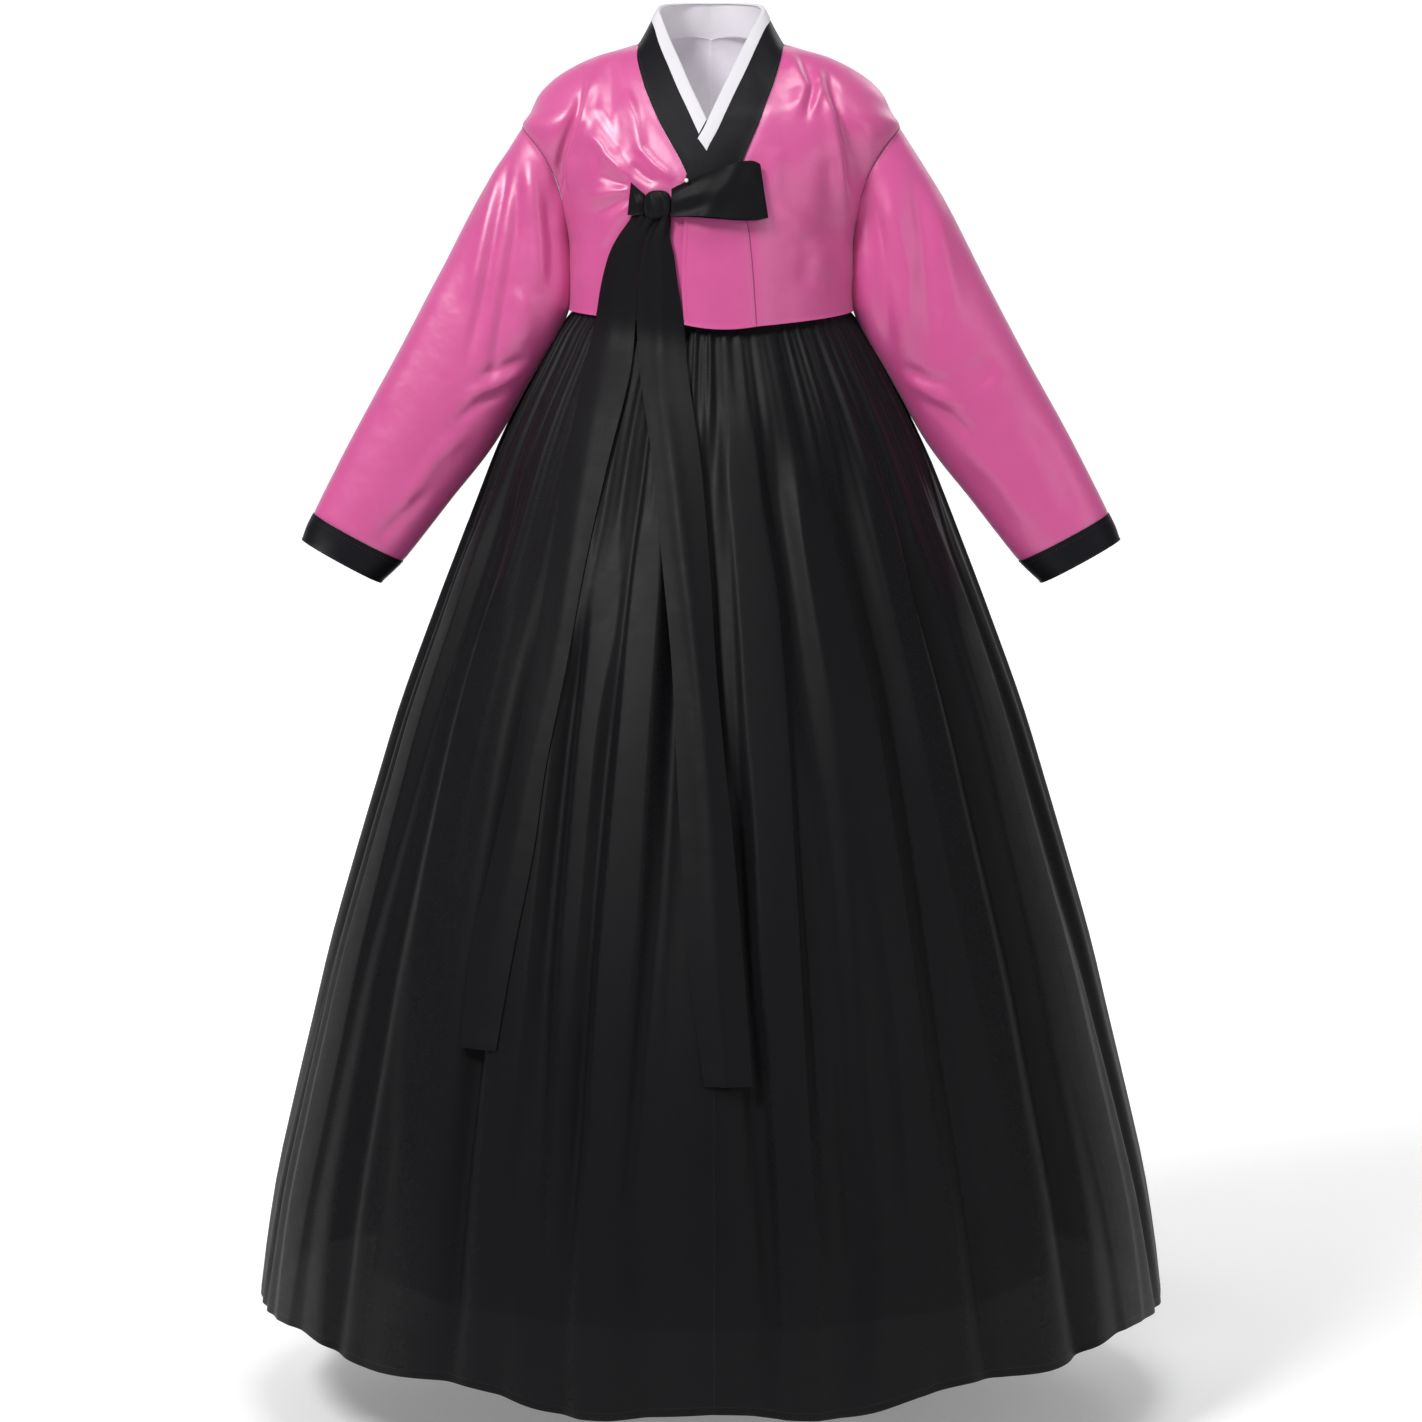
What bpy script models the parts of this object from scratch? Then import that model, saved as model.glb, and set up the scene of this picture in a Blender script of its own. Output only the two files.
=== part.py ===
"""Hanbok, filled out as if worn: a short jacket tied with a ribbon bow over a full gathered skirt.

Metres, +Z up. The origin lies between the shoulders at the base of the neck. The front faces -Y and the
wearer's left is +X. Every piece is a thin wall worked out from the torso's or the skirt's sections.
"""
import math
from collections import namedtuple

import bmesh
import bpy
from mathutils import Vector

# Walls and gaps
SEAM_GAP = 0.0003        # between two pieces that are sewn together
SATIN = 0.0015           # jacket panels, lined
BAND = 0.0020            # collar and cuffs, with their stiffening
BAND_PROUD = 0.0005      # how far collar and cuffs stand over the panels
STRIP = 0.0010           # white collar strip
SKIRT_CLOTH = 0.0016
WAISTBAND = 0.0030
RIBBON = 0.0016
LAP = 0.0030             # how far the upper front lies above the lower one

# Numbers of rows and columns
ARM_ROWS = 10            # from the shoulder to the underarm, half of an armhole
SIDE_ROWS = 4            # from the underarm to the jacket's hem
BACK_NECK_ROWS = 5       # rows that start on the back neckline
FRONT_NECK_ROWS = 8      # and on the front one
PANEL_COLUMNS = 8
SLEEVE_ROWS = 11
PLEATS = 66              # knife pleats under the waistband
COLUMNS_PER_PLEAT = 3
FOLDS = 33               # pleats that run together into folds, two by two
LINING_COLUMNS = 60

TorsoRow = namedtuple("TorsoRow", "height half_width front back rise")
TORSO = [
    TorsoRow(0.0120, 0.066, 0.012, 0.030, 0.012),
    TorsoRow(0.0060, 0.100, 0.036, 0.052, 0.022),
    TorsoRow(-0.0040, 0.132, 0.050, 0.064, 0.031),
    TorsoRow(-0.0230, 0.166, 0.066, 0.077, 0.0465),
    TorsoRow(-0.0470, 0.189, 0.083, 0.089, 0.034),
    TorsoRow(-0.0760, 0.204, 0.100, 0.098, 0.020),
    TorsoRow(-0.1270, 0.183, 0.119, 0.106, 0.006),
    TorsoRow(-0.1850, 0.158, 0.128, 0.108, 0.000),
    TorsoRow(-0.2250, 0.155, 0.130, 0.107, 0.000),
    TorsoRow(-0.3000, 0.156, 0.131, 0.106, 0.000),
]
SHOULDER_ROW = 5         # the armhole's top is on this row of the torso
UNDERARM_ROW = 7         # and its bottom on this one
ARMHOLE_TURN = 23.0      # degrees by which the armhole comes round to front and back
CREASE_SHARE = 0.22      # how much shallower the chest is in the crease beside the arm
BACK_CREASE_SHARE = 0.08
CREASE_WIDTH = 0.016
CREASE_TOP = -0.020
CREASE_FULL = -0.120

# Collar: its lower edge lies on the torso, its upper edge stands round the neck or lies on the chest
BackNeckRow = namedtuple("BackNeckRow", "station angle upper_x upper_y upper_z")
BACK_NECK = [            # from the middle of the back to the side of the neck
    BackNeckRow(3.00, 180.0, 0.0000, 0.0625, 0.0605),
    BackNeckRow(2.20, 164.0, 0.0205, 0.0590, 0.0602),
    BackNeckRow(1.55, 148.5, 0.0375, 0.0490, 0.0590),
    BackNeckRow(1.00, 133.0, 0.0490, 0.0350, 0.0570),
    BackNeckRow(0.60, 113.0, 0.0550, 0.0190, 0.0535),
    BackNeckRow(0.31, 90.0, 0.0560, 0.0020, 0.0480),
]
FrontNeckRow = namedtuple("FrontNeckRow", "lower_x lower_z upper_x upper_y upper_z hug")
UPPER_NECK = [           # wearer's left, which laps over the right
    FrontNeckRow(0.0765, 0.0105, 0.0560, 0.0020, 0.0480, 0.0),
    FrontNeckRow(0.0735, -0.0080, 0.0400, -0.0300, 0.0180, 0.0),
    FrontNeckRow(0.0663, -0.0335, 0.0245, -0.0610, -0.0148, 0.6),
    FrontNeckRow(0.0588, -0.0531, 0.0137, -0.0790, -0.0375, 1.0),
    FrontNeckRow(0.0502, -0.0772, 0.0040, -0.0930, -0.0585, 1.0),
    FrontNeckRow(0.0407, -0.0995, -0.0058, -0.1050, -0.0800, 1.0),
    FrontNeckRow(0.0323, -0.1200, -0.0170, -0.1140, -0.1020, 1.0),
    FrontNeckRow(0.0245, -0.1472, -0.0278, -0.1220, -0.1390, 1.0),
]
LOWER_NECK = [           # wearer's right, measured towards that side
    FrontNeckRow(0.0765, 0.0105, 0.0560, 0.0020, 0.0480, 0.0),
    FrontNeckRow(0.0780, -0.0067, 0.0440, -0.0300, 0.0155, 0.0),
    FrontNeckRow(0.0712, -0.0335, 0.0318, -0.0600, -0.0130, 0.6),
    FrontNeckRow(0.0640, -0.0531, 0.0215, -0.0790, -0.0375, 1.0),
    FrontNeckRow(0.0545, -0.0750, 0.0115, -0.0940, -0.0590, 1.0),
    FrontNeckRow(0.0425, -0.0970, 0.0020, -0.1050, -0.0800, 1.0),
    FrontNeckRow(0.0325, -0.1150, -0.0085, -0.1140, -0.1050, 1.0),
    FrontNeckRow(0.0250, -0.1310, -0.0130, -0.1200, -0.1250, 1.0),
]
STRIP_WIDTH = 0.0133
STRIP_GAP = 0.0007
STRIP_CLEAR = 0.15       # rows between the strip's end and the nearest row before it
STRIP_ENDS = {1: (5.68, 6.00), -1: (4.72, 5.16)}   # rows down the front, at the strip's two edges

# Front edges below the collar: x towards the side that the panel belongs to
EdgeRow = namedtuple("EdgeRow", "x z")
LEFT_SEAM = [EdgeRow(0.0252, -0.1486), EdgeRow(0.0325, -0.1670), EdgeRow(0.0380, -0.1850),
             EdgeRow(0.0412, -0.2100), EdgeRow(0.0434, -0.2360), EdgeRow(0.0452, -0.2620),
             EdgeRow(0.0470, -0.2885)]
FREE_EDGE = [EdgeRow(-0.0278, -0.1404), EdgeRow(-0.0275, -0.1620), EdgeRow(-0.0276, -0.1820),
             EdgeRow(-0.0292, -0.2080), EdgeRow(-0.0299, -0.2340), EdgeRow(-0.0294, -0.2600),
             EdgeRow(-0.0274, -0.2868)]
RIGHT_SEAM = [EdgeRow(0.0250, -0.1324), EdgeRow(0.0247, -0.1580), EdgeRow(0.0243, -0.1840),
              EdgeRow(0.0236, -0.2100), EdgeRow(0.0228, -0.2360), EdgeRow(0.0219, -0.2610),
              EdgeRow(0.0210, -0.2860)]
HIDDEN_EDGE = [EdgeRow(-0.0300, row.z) for row in RIGHT_SEAM]
HEM_SAG = 0.0040         # the overlap's hem hangs lowest in its middle
OVERLAP_COLUMNS = 4
SIDE_HEIGHTS = [-0.1850, -0.2060, -0.2270, -0.2480, -0.2680]
BACK_HEM = -0.2660

SleeveRow = namedtuple("SleeveRow", "outer_x outer_z inner_x inner_z centre_y half_depth")
SLEEVE = [               # outer and inner edge as seen from the front, from the armhole to the cuff's seam
    SleeveRow(0.2040, -0.0760, 0.1580, -0.1850, 0.000, 0.049),
    SleeveRow(0.2523, -0.1561, 0.1618, -0.2640, -0.003, 0.051),
    SleeveRow(0.2951, -0.2391, 0.1945, -0.3395, -0.008, 0.049),
    SleeveRow(0.3388, -0.3219, 0.2320, -0.4120, -0.016, 0.045),
    SleeveRow(0.3841, -0.4038, 0.2810, -0.4755, -0.025, 0.040),
    SleeveRow(0.4266, -0.4873, 0.3310, -0.5390, -0.033, 0.036),
    SleeveRow(0.4385, -0.5157, 0.3550, -0.5617, -0.036, 0.035),
]
CUFF_SEAM = 5.0          # row of the sleeve at which the cuff is sewn on
CUFF_END = 6.0
ARMHOLE_REACH = 1.6      # rows over which the armhole's own shape fades out
SLEEVE_SQUARENESS = 2.15

SkirtRow = namedtuple("SkirtRow", "height half_width front back pleat fold")
SKIRT = [                # outermost line of the folds, and how deep pleats and folds go in from it
    SkirtRow(-0.2353, 0.1395, 0.1130, 0.0970, 0.0018, 0.0000),
    SkirtRow(-0.2680, 0.1485, 0.1190, 0.1000, 0.0030, 0.0005),
    SkirtRow(-0.2921, 0.1670, 0.1255, 0.1100, 0.0048, 0.0010),
    SkirtRow(-0.3242, 0.1850, 0.1430, 0.1300, 0.0065, 0.0030),
    SkirtRow(-0.3671, 0.2080, 0.1670, 0.1560, 0.0075, 0.0060),
    SkirtRow(-0.4100, 0.2285, 0.1880, 0.1780, 0.0070, 0.0090),
    SkirtRow(-0.4530, 0.2463, 0.2070, 0.1980, 0.0060, 0.0115),
    SkirtRow(-0.5176, 0.2717, 0.2340, 0.2260, 0.0045, 0.0140),
    SkirtRow(-0.5823, 0.2966, 0.2600, 0.2530, 0.0030, 0.0160),
    SkirtRow(-0.6903, 0.3363, 0.3000, 0.2940, 0.0015, 0.0175),
    SkirtRow(-0.7769, 0.3632, 0.3290, 0.3240, 0.0010, 0.0180),
    SkirtRow(-0.8637, 0.3891, 0.3560, 0.3510, 0.0000, 0.0180),
    SkirtRow(-0.9506, 0.4141, 0.3810, 0.3760, 0.0000, 0.0175),
    SkirtRow(-1.0378, 0.4353, 0.4030, 0.3980, 0.0000, 0.0170),
    SkirtRow(-1.1252, 0.4565, 0.4240, 0.4180, 0.0000, 0.0160),
    SkirtRow(-1.2128, 0.4764, 0.4420, 0.4350, 0.0000, 0.0150),
    SkirtRow(-1.3008, 0.4904, 0.4560, 0.4490, 0.0000, 0.0140),
    SkirtRow(-1.3600, 0.4970, 0.4630, 0.4560, 0.0000, 0.0135),
]
SKIRT_TOP = -0.2353
HemRow = namedtuple("HemRow", "height")
HEM = [HemRow(height) for height in (      # every fifteen degrees, from the front round to the back
    -1.357, -1.366, -1.345, -1.348, -1.334, -1.340, -1.345, -1.350, -1.343, -1.352, -1.358, -1.350, -1.353)]
SKIRT_STEPS = [0.0, 0.032, 0.068, 0.122, 0.204, 0.346, 0.552, 0.778, 1.0]
FOLD_DRIFT = [(1.10, 3, 0.4), (0.80, 5, 1.9), (0.50, 8, 4.0)]    # size, turns round the skirt, phase
DEPTH_DRIFT = (0.25, 4, 1.0)

LiningRow = namedtuple("LiningRow", "height half_width front back")
SKIRT_LINING = [
    LiningRow(-0.2250, 0.1342, 0.1077, 0.0917),
    LiningRow(-0.2780, 0.1400, 0.1110, 0.0920),
    LiningRow(-0.3300, 0.1520, 0.1210, 0.1080),
    LiningRow(-0.4500, 0.1900, 0.1620, 0.1540),
    LiningRow(-0.6500, 0.2440, 0.2180, 0.2120),
    LiningRow(-0.8500, 0.2900, 0.2650, 0.2600),
    LiningRow(-1.0800, 0.3350, 0.3110, 0.3060),
    LiningRow(-1.3020, 0.3760, 0.3520, 0.3460),
]
LINING_WAVE = 0.004
LINING_WAVES = 12

BAND_TOP = -0.1150
BAND_TOP_SIZE = (0.1360, 0.1110, 0.0960)           # half width, front and back depth
BAND_COLUMNS = 60
STRAP_X = 0.0960
STRAP_WIDTH = 0.034
STRAP_STEPS = 7
STRAP_INSET = 0.0055     # below the jacket's outer face at the shoulder
STRAP_BAND_INSET = 0.0120
STRAP_CLEAR = 0.0060     # height above the waistband at which the strap leaves the jacket's form
STRAP_ON_BAND = 0.0006

# Ribbon: the bow's loop and ear, seen from the front, and how far each layer stands off the chest
BowRow = namedtuple("BowRow", "top_x top_z low_x low_z front back")
LOOP = [
    BowRow(-0.0394, -0.1520, -0.0394, -0.1725, 0.0108, 0.0052),
    BowRow(-0.0270, -0.1430, -0.0270, -0.1735, 0.0135, 0.0052),
    BowRow(-0.0030, -0.1325, -0.0030, -0.1770, 0.0165, 0.0052),
    BowRow(0.0220, -0.1240, 0.0235, -0.1790, 0.0162, 0.0052),
    BowRow(0.0400, -0.1205, 0.0450, -0.1790, 0.0145, 0.0052),
    BowRow(0.0500, -0.1230, 0.0572, -0.1765, 0.0115, 0.0055),
]
EAR = [
    BowRow(-0.0678, -0.1540, -0.0678, -0.1700, 0.0085, 0.0020),
    BowRow(-0.0740, -0.1465, -0.0750, -0.1730, 0.0100, 0.0014),
    BowRow(-0.0820, -0.1395, -0.0850, -0.1725, 0.0075, 0.0022),
]
BOW_LEVELS = 4
KNOT_CENTRE = (-0.0535, -0.1632)
KNOT_SIZE = (0.0272, 0.0296)                       # across and down
KNOT_OUT = (0.0008, 0.0150)                        # its back and front, off the chest
KNOT_ROUND = (14, 9)
KNOT_SQUARENESS = 3.2

TailRow = namedtuple("TailRow", "height left right lift")
LEFT_TAIL = [            # the two long ends: their edges as seen from the front
    TailRow(-0.1785, -0.0810, -0.0575, 0.0034),
    TailRow(-0.1960, -0.0960, -0.0690, 0.0030),
    TailRow(-0.2150, -0.1080, -0.0735, 0.0026),
    TailRow(-0.2450, -0.1160, -0.0775, 0.0024),
    TailRow(-0.2800, -0.1220, -0.0790, 0.0022),
    TailRow(-0.3400, -0.1350, -0.0850, 0.0007),
    TailRow(-0.4300, -0.1520, -0.1070, 0.0007),
    TailRow(-0.5300, -0.1680, -0.1290, 0.0007),
    TailRow(-0.6300, -0.1840, -0.1470, 0.0007),
    TailRow(-0.7350, -0.2040, -0.1680, 0.0007),
    TailRow(-0.8200, -0.2220, -0.1800, 0.0007),
    TailRow(-0.9200, -0.2440, -0.2000, 0.0007),
    TailRow(-1.0150, -0.2540, -0.2165, 0.0007),
]
RIGHT_TAIL = [
    TailRow(-0.1785, -0.0568, -0.0415, 0.0045),
    TailRow(-0.1960, -0.0683, -0.0425, 0.0040),
    TailRow(-0.2150, -0.0728, -0.0385, 0.0036),
    TailRow(-0.2450, -0.0768, -0.0345, 0.0034),
    TailRow(-0.2800, -0.0780, -0.0290, 0.0032),
    TailRow(-0.3400, -0.0740, -0.0235, 0.0007),
    TailRow(-0.4300, -0.0600, -0.0105, 0.0007),
    TailRow(-0.5300, -0.0500, -0.0015, 0.0007),
    TailRow(-0.6300, -0.0400, 0.0050, 0.0007),
    TailRow(-0.7350, -0.0345, 0.0150, 0.0007),
    TailRow(-0.8200, -0.0300, 0.0240, 0.0007),
    TailRow(-0.9200, -0.0230, 0.0320, 0.0007),
    TailRow(-1.0400, -0.0070, 0.0410, 0.0007),
]
TAIL_CHEST_HEIGHTS = [-0.1785, -0.1870, -0.1960, -0.2055, -0.2150, -0.2300, -0.2450, -0.2625, -0.2800, -0.2920]
TAIL_COLUMNS = 4
TAIL_ON_SKIRT = 0.0007   # off the outermost line of the skirt's folds
TAIL_CUP = 0.0016        # how far a tail's middle stands off its edges

# Colours: red, green, blue, roughness
PINK = (0.66, 0.11, 0.33, 0.38)
BLACK = (0.012, 0.012, 0.015, 0.55)
WHITE = (0.85, 0.85, 0.86, 0.60)


def mix(a, b, share):
    """Value between a and b."""
    return a + (b - a) * share


def ease(share):
    """Smooth step from 0 to 1."""
    share = min(1.0, max(0.0, share))
    return share * share * (3.0 - 2.0 * share)


def row_at(rows, t):
    """A table's row at t, its columns joined by smooth curves; t is 0 on the first row."""
    last = len(rows) - 1
    start = min(max(int(math.floor(t)), 0), last - 1)
    f = t - start
    near = [rows[min(max(start + step, 0), last)] for step in (-1, 0, 1, 2)]
    return type(rows[0])(*(
        0.5 * (2 * b + (c - a) * f + (2 * a - 5 * b + 4 * c - d) * f ** 2 + (3 * b - a - 3 * c + d) * f ** 3)
        for a, b, c, d in zip(*near)))


def place_of(rows, column, value):
    """Place in a table where a column that falls from row to row has a value."""
    low, high = 0.0, len(rows) - 1.0
    for _ in range(40):
        middle = (low + high) / 2
        if getattr(row_at(rows, middle), column) > value:
            low = middle
        else:
            high = middle
    return (low + high) / 2


def oval(row, angle, inset=0.0):
    """Point and outward direction on a section's oval; angle 0 is the front, 90 degrees the wearer's left."""
    depth = row.front if math.cos(angle) > 0 else row.back
    out = Vector((math.sin(angle) / row.half_width, -math.cos(angle) / depth, 0.0)).normalized()
    point = Vector((row.half_width * math.sin(angle), -depth * math.cos(angle), row.height))
    return point - out * inset, out


def torso(station, angle):
    """Point of the jacket's outer face."""
    row = row_at(TORSO, station)
    point, _ = oval(row, angle)
    point.z += row.rise * max(0.0, -math.cos(angle)) ** 2
    crease_x = 0.1273 + 0.28 * (-0.0155 - point.z)
    share = CREASE_SHARE if point.y < 0.0 else BACK_CREASE_SHARE
    share *= ease((CREASE_TOP - point.z) / (CREASE_TOP - CREASE_FULL))
    point.y *= 1.0 - share * math.exp(-((abs(point.x) - crease_x) / CREASE_WIDTH) ** 2)
    return point


def torso_out(station, angle):
    """Outward direction of the jacket's outer face."""
    step = 0.02
    down = torso(station + step, angle) - torso(station - step, angle)
    round_ = torso(station, angle + step) - torso(station, angle - step)
    return down.cross(round_).normalized()


def skin(station, angle, out=0.0):
    """Point of the jacket, moved out."""
    return torso(station, angle) + torso_out(station, angle) * out


def on_front(x, z):
    """Station and angle of the torso's front at a place seen from the front."""
    station = place_of(TORSO, "height", z)
    return station, math.asin(max(-1.0, min(1.0, x / row_at(TORSO, station).half_width)))


def lap(x, z):
    """How far the wearer's left front is lifted off the torso where it lies over the right one."""
    return LAP * ease((-0.030 - z) / 0.040) * ease((0.085 - x) / 0.040)


def armhole(turn):
    """Station and angle of the left armhole; turn 0 is its top, a quarter turn its front."""
    middle = (SHOULDER_ROW + UNDERARM_ROW) / 2
    return middle - math.cos(turn), math.radians(90.0 - ARMHOLE_TURN * math.sin(turn))


def neck(place):
    """Lower and upper edge of the collar; place 0 is the back's middle, up to 12 and -12 at the front ends."""
    side = 1 if place >= 0 else -1
    down = abs(place)
    if down <= BACK_NECK_ROWS:
        row = row_at(BACK_NECK, down)
        lower = torso(row.station, math.radians(row.angle) * side)
        return lower, Vector((row.upper_x * side, row.upper_y, row.upper_z)), 0.0
    row = row_at(UPPER_NECK if side > 0 else LOWER_NECK, down - BACK_NECK_ROWS)
    lower = torso(*on_front(row.lower_x * side, row.lower_z))
    upper = Vector((row.upper_x * side, row.upper_y, row.upper_z))
    return lower, upper, min(1.0, max(0.0, row.hug))


def collar(place, across):
    """Point of the collar's base; across 0 is its lower edge and 1 its upper edge."""
    lower, upper, hug = neck(place)
    point = lower.lerp(upper, across)
    if hug > 0.0:
        chest = torso(*on_front(point.x, point.z)).y
        point.y = mix(point.y, chest, hug)
    if place > BACK_NECK_ROWS:
        point.y -= lap(point.x, point.z) * hug
    return point


def collar_out(place, across):
    """Outward direction of the collar."""
    step = 0.05
    along = collar(place + step, across) - collar(place - step, across)
    low, high = max(0.0, across - step), min(1.0, across + step)
    return (collar(place, high) - collar(place, low)).cross(along).normalized()


def sleeve(place, turn):
    """Point of the left sleeve's outer face; turn 0 is its upper edge, a quarter turn its front."""
    def section(at):
        row = row_at(SLEEVE, at)
        outer = Vector((row.outer_x, row.centre_y, row.outer_z))
        inner = Vector((row.inner_x, row.centre_y, row.inner_z))
        power = 2.0 / SLEEVE_SQUARENESS
        c, s = math.cos(turn), math.sin(turn)
        wide = math.copysign(abs(c) ** power, c)
        deep = math.copysign(abs(s) ** power, s)
        return (outer + inner) / 2 + (outer - inner) / 2 * wide - Vector((0, row.half_depth, 0)) * deep
    fade = max(0.0, 1.0 - place / ARMHOLE_REACH) ** 3
    return section(place) + (torso(*armhole(turn)) - section(0.0)) * fade


def sleeve_out(place, turn):
    """Outward direction of the left sleeve."""
    step = 0.03
    along = sleeve(place + step, turn) - sleeve(max(0.0, place - step), turn)
    round_ = sleeve(place, turn + step) - sleeve(place, turn - step)
    return round_.cross(along).normalized()


def skirt(angle, share, inset=0.0):
    """Point of the skirt; share 0 is the waistband's edge and 1 the hem."""
    height = mix(SKIRT_TOP, hem(angle), share)
    row = row_at(SKIRT, place_of(SKIRT, "height", height))._replace(height=height)
    lean = PLEATS * angle
    pleat = 0.5 - 0.5 * math.cos(lean + 0.6 * math.sin(lean))
    phase = FOLDS * angle + sum(size * math.sin(turns * angle + start) for size, turns, start in FOLD_DRIFT)
    fold = 1.0 - abs(math.cos(phase / 2)) ** 1.3
    size, turns, start = DEPTH_DRIFT
    depth = row.pleat * pleat + row.fold * fold * (1.0 - size + size * math.sin(turns * angle + start))
    return oval(row, angle, depth + inset)[0]


def hem(angle):
    """Height of the skirt's hem."""
    turned = abs(math.remainder(angle, 2 * math.pi)) / math.pi
    return row_at(HEM, turned * (len(HEM) - 1)).height


def skirt_outline(angle, share):
    """Outermost line of the skirt's folds."""
    height = mix(SKIRT_TOP, hem(angle), share)
    row = row_at(SKIRT, place_of(SKIRT, "height", height))._replace(height=height)
    return oval(row, angle)[0]


def skirt_front(x, z):
    """Depth of that line in front, straight from row to row, at a place seen from the front."""
    if z > SKIRT_TOP:
        return 0.0
    angle = math.asin(x / row_at(SKIRT, place_of(SKIRT, "height", z)).half_width)
    for _ in range(6):
        line = [skirt_outline(angle, share) for share in SKIRT_STEPS]
        low = next(i for i, point in enumerate(line) if point.z <= z)
        start, end = line[low - 1], line[low]
        point = start.lerp(end, (start.z - z) / (start.z - end.z))
        angle = math.asin(x * math.sin(angle) / point.x) if abs(point.x) > 1e-6 else angle
    return -point.y


def trimmed(grid, gap, first_row=True, last_row=True, first_column=True, last_column=True):
    """The grid with its chosen borders drawn in by half a gap, so that the next piece stays clear."""
    def pull(points, start):
        order = (0, 1) if start else (-1, -2)
        edge, inner = points[order[0]], points[order[1]]
        if (inner - edge).length > gap:
            points[order[0]] = edge + (inner - edge).normalized() * gap / 2
    rows = [list(row) for row in grid]
    for row in rows:
        if first_column:
            pull(row, True)
        if last_column:
            pull(row, False)
    columns = [list(column) for column in zip(*rows)]
    for column in columns:
        if first_row:
            pull(column, True)
        if last_row:
            pull(column, False)
    return [list(row) for row in zip(*columns)]


def material(name, colour):
    """One plain finish, made once."""
    found = bpy.data.materials.get(name)
    if found:
        return found
    made = bpy.data.materials.new(name)
    made.use_nodes = True
    shader = made.node_tree.nodes["Principled BSDF"]
    shader.inputs["Base Color"].default_value = (*colour[:3], 1.0)
    shader.inputs["Roughness"].default_value = colour[3]
    shader.inputs["Metallic"].default_value = 0.0
    return made


def add_object(name, bm, colour):
    """Closes the bmesh into a named object with its own finish, its faces pointing out."""
    bmesh.ops.triangulate(bm, faces=bm.faces)
    bmesh.ops.recalc_face_normals(bm, faces=bm.faces)
    mesh = bpy.data.meshes.new(name)
    bm.to_mesh(mesh)
    bm.free()
    mesh.materials.append(material(name + "_finish", colour))
    mesh.shade_smooth()
    mesh.set_sharp_from_angle(angle=math.radians(40))
    made = bpy.data.objects.new(name, mesh)
    bpy.context.collection.objects.link(made)
    return made


def add_wall(name, outer, inner, colour, closed=False):
    """A wall between two grids of points; closed joins each row's last point to its first."""
    bm = bmesh.new()
    out, within = [[[bm.verts.new(point) for point in row] for row in grid] for grid in (outer, inner)]
    rows, columns = len(outer), len(outer[0])

    def quad(a, b, c, d):
        bm.faces.new((a, b, d))
        bm.faces.new((b, c, d))
    pairs = [(j, (j + 1) % columns) for j in range(columns if closed else columns - 1)]
    for j, k in pairs:
        for i in range(rows - 1):
            for grid in (out, within):
                quad(grid[i][j], grid[i][k], grid[i + 1][k], grid[i + 1][j])
        for i in (0, rows - 1):
            quad(out[i][j], out[i][k], within[i][k], within[i][j])
    for j in () if closed else (0, columns - 1):
        for i in range(rows - 1):
            quad(out[i][j], out[i + 1][j], within[i + 1][j], within[i][j])
    return add_object(name, bm, colour)


def flipped(grid):
    """The grid on the other side of the body."""
    return [[Vector((-point.x, point.y, point.z)) for point in row] for row in grid]


def panel(inner, outer, out_of):
    """Outer and inner face of a panel between two edges, each a list of stations and angles."""
    faces = []
    for depth in (0.0, SATIN):
        grid = []
        for (s0, a0), (s1, a1) in zip(inner, outer):
            row = []
            for j in range(PANEL_COLUMNS + 1):
                share = j / PANEL_COLUMNS
                station, angle = mix(s0, s1, share), mix(a0, a1, share)
                base = torso(station, angle)
                row.append(skin(station, angle, out_of(base.x, base.z) - depth))
            grid.append(row)
        faces.append(trimmed(grid, SEAM_GAP, last_row=False))
    return faces


def side_edge():
    """The left panels' outer edge: the armhole's half in front, then the side seam."""
    turns = [math.pi * i / ARM_ROWS for i in range(ARM_ROWS + 1)]
    side = [(place_of(TORSO, "height", z), math.radians(90.0)) for z in SIDE_HEIGHTS[1:]]
    return [armhole(turn) for turn in turns] + side


def front_neck_places():
    """Rows of the front neck tables at which the panels and the collar are cut, below the shoulder."""
    count = len(UPPER_NECK) - 1
    return [count * (i / FRONT_NECK_ROWS) ** 1.2 for i in range(1, FRONT_NECK_ROWS + 1)]


def front_edge(neck_rows, seam):
    """A front panel's inner edge: down the collar, then down its seam."""
    rows = [row_at(neck_rows, place) for place in front_neck_places()]
    shoulder = (BACK_NECK[-1].station, math.radians(90.0))
    return [shoulder] + [on_front(row.lower_x, row.lower_z) for row in rows] + [
        on_front(point.x, point.z) for point in seam[1:]]


def add_fronts():
    """Both fronts; the wearer's left one lies over the right one."""
    outer, inner = panel(front_edge(UPPER_NECK, LEFT_SEAM), side_edge(), lap)
    add_wall("jeogori_front_left", outer, inner, PINK)
    outer, inner = panel(front_edge(LOWER_NECK, RIGHT_SEAM), side_edge(), lambda x, z: 0.0)
    add_wall("jeogori_front_right", flipped(outer), flipped(inner), PINK)


def add_overlap(name, side, seam, edge, sag, out_of):
    """One of the narrow pieces that widen the fronts to lap over each other."""
    faces = []
    for depth in (0.0, SATIN):
        grid = []
        for i, (start, end) in enumerate(zip(seam, edge)):
            row = []
            for j in range(OVERLAP_COLUMNS + 1):
                share = j / OVERLAP_COLUMNS
                x = mix(start.x, end.x, share) * side
                z = mix(start.z, end.z, share)
                if i == len(seam) - 1:
                    z -= sag * 4 * share * (1 - share)
                row.append(skin(*on_front(x, z), out_of(x, z) - depth))
            grid.append(row)
        faces.append(trimmed(grid, SEAM_GAP, last_row=False, last_column=False))
    add_wall(name, *faces, PINK)


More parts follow.
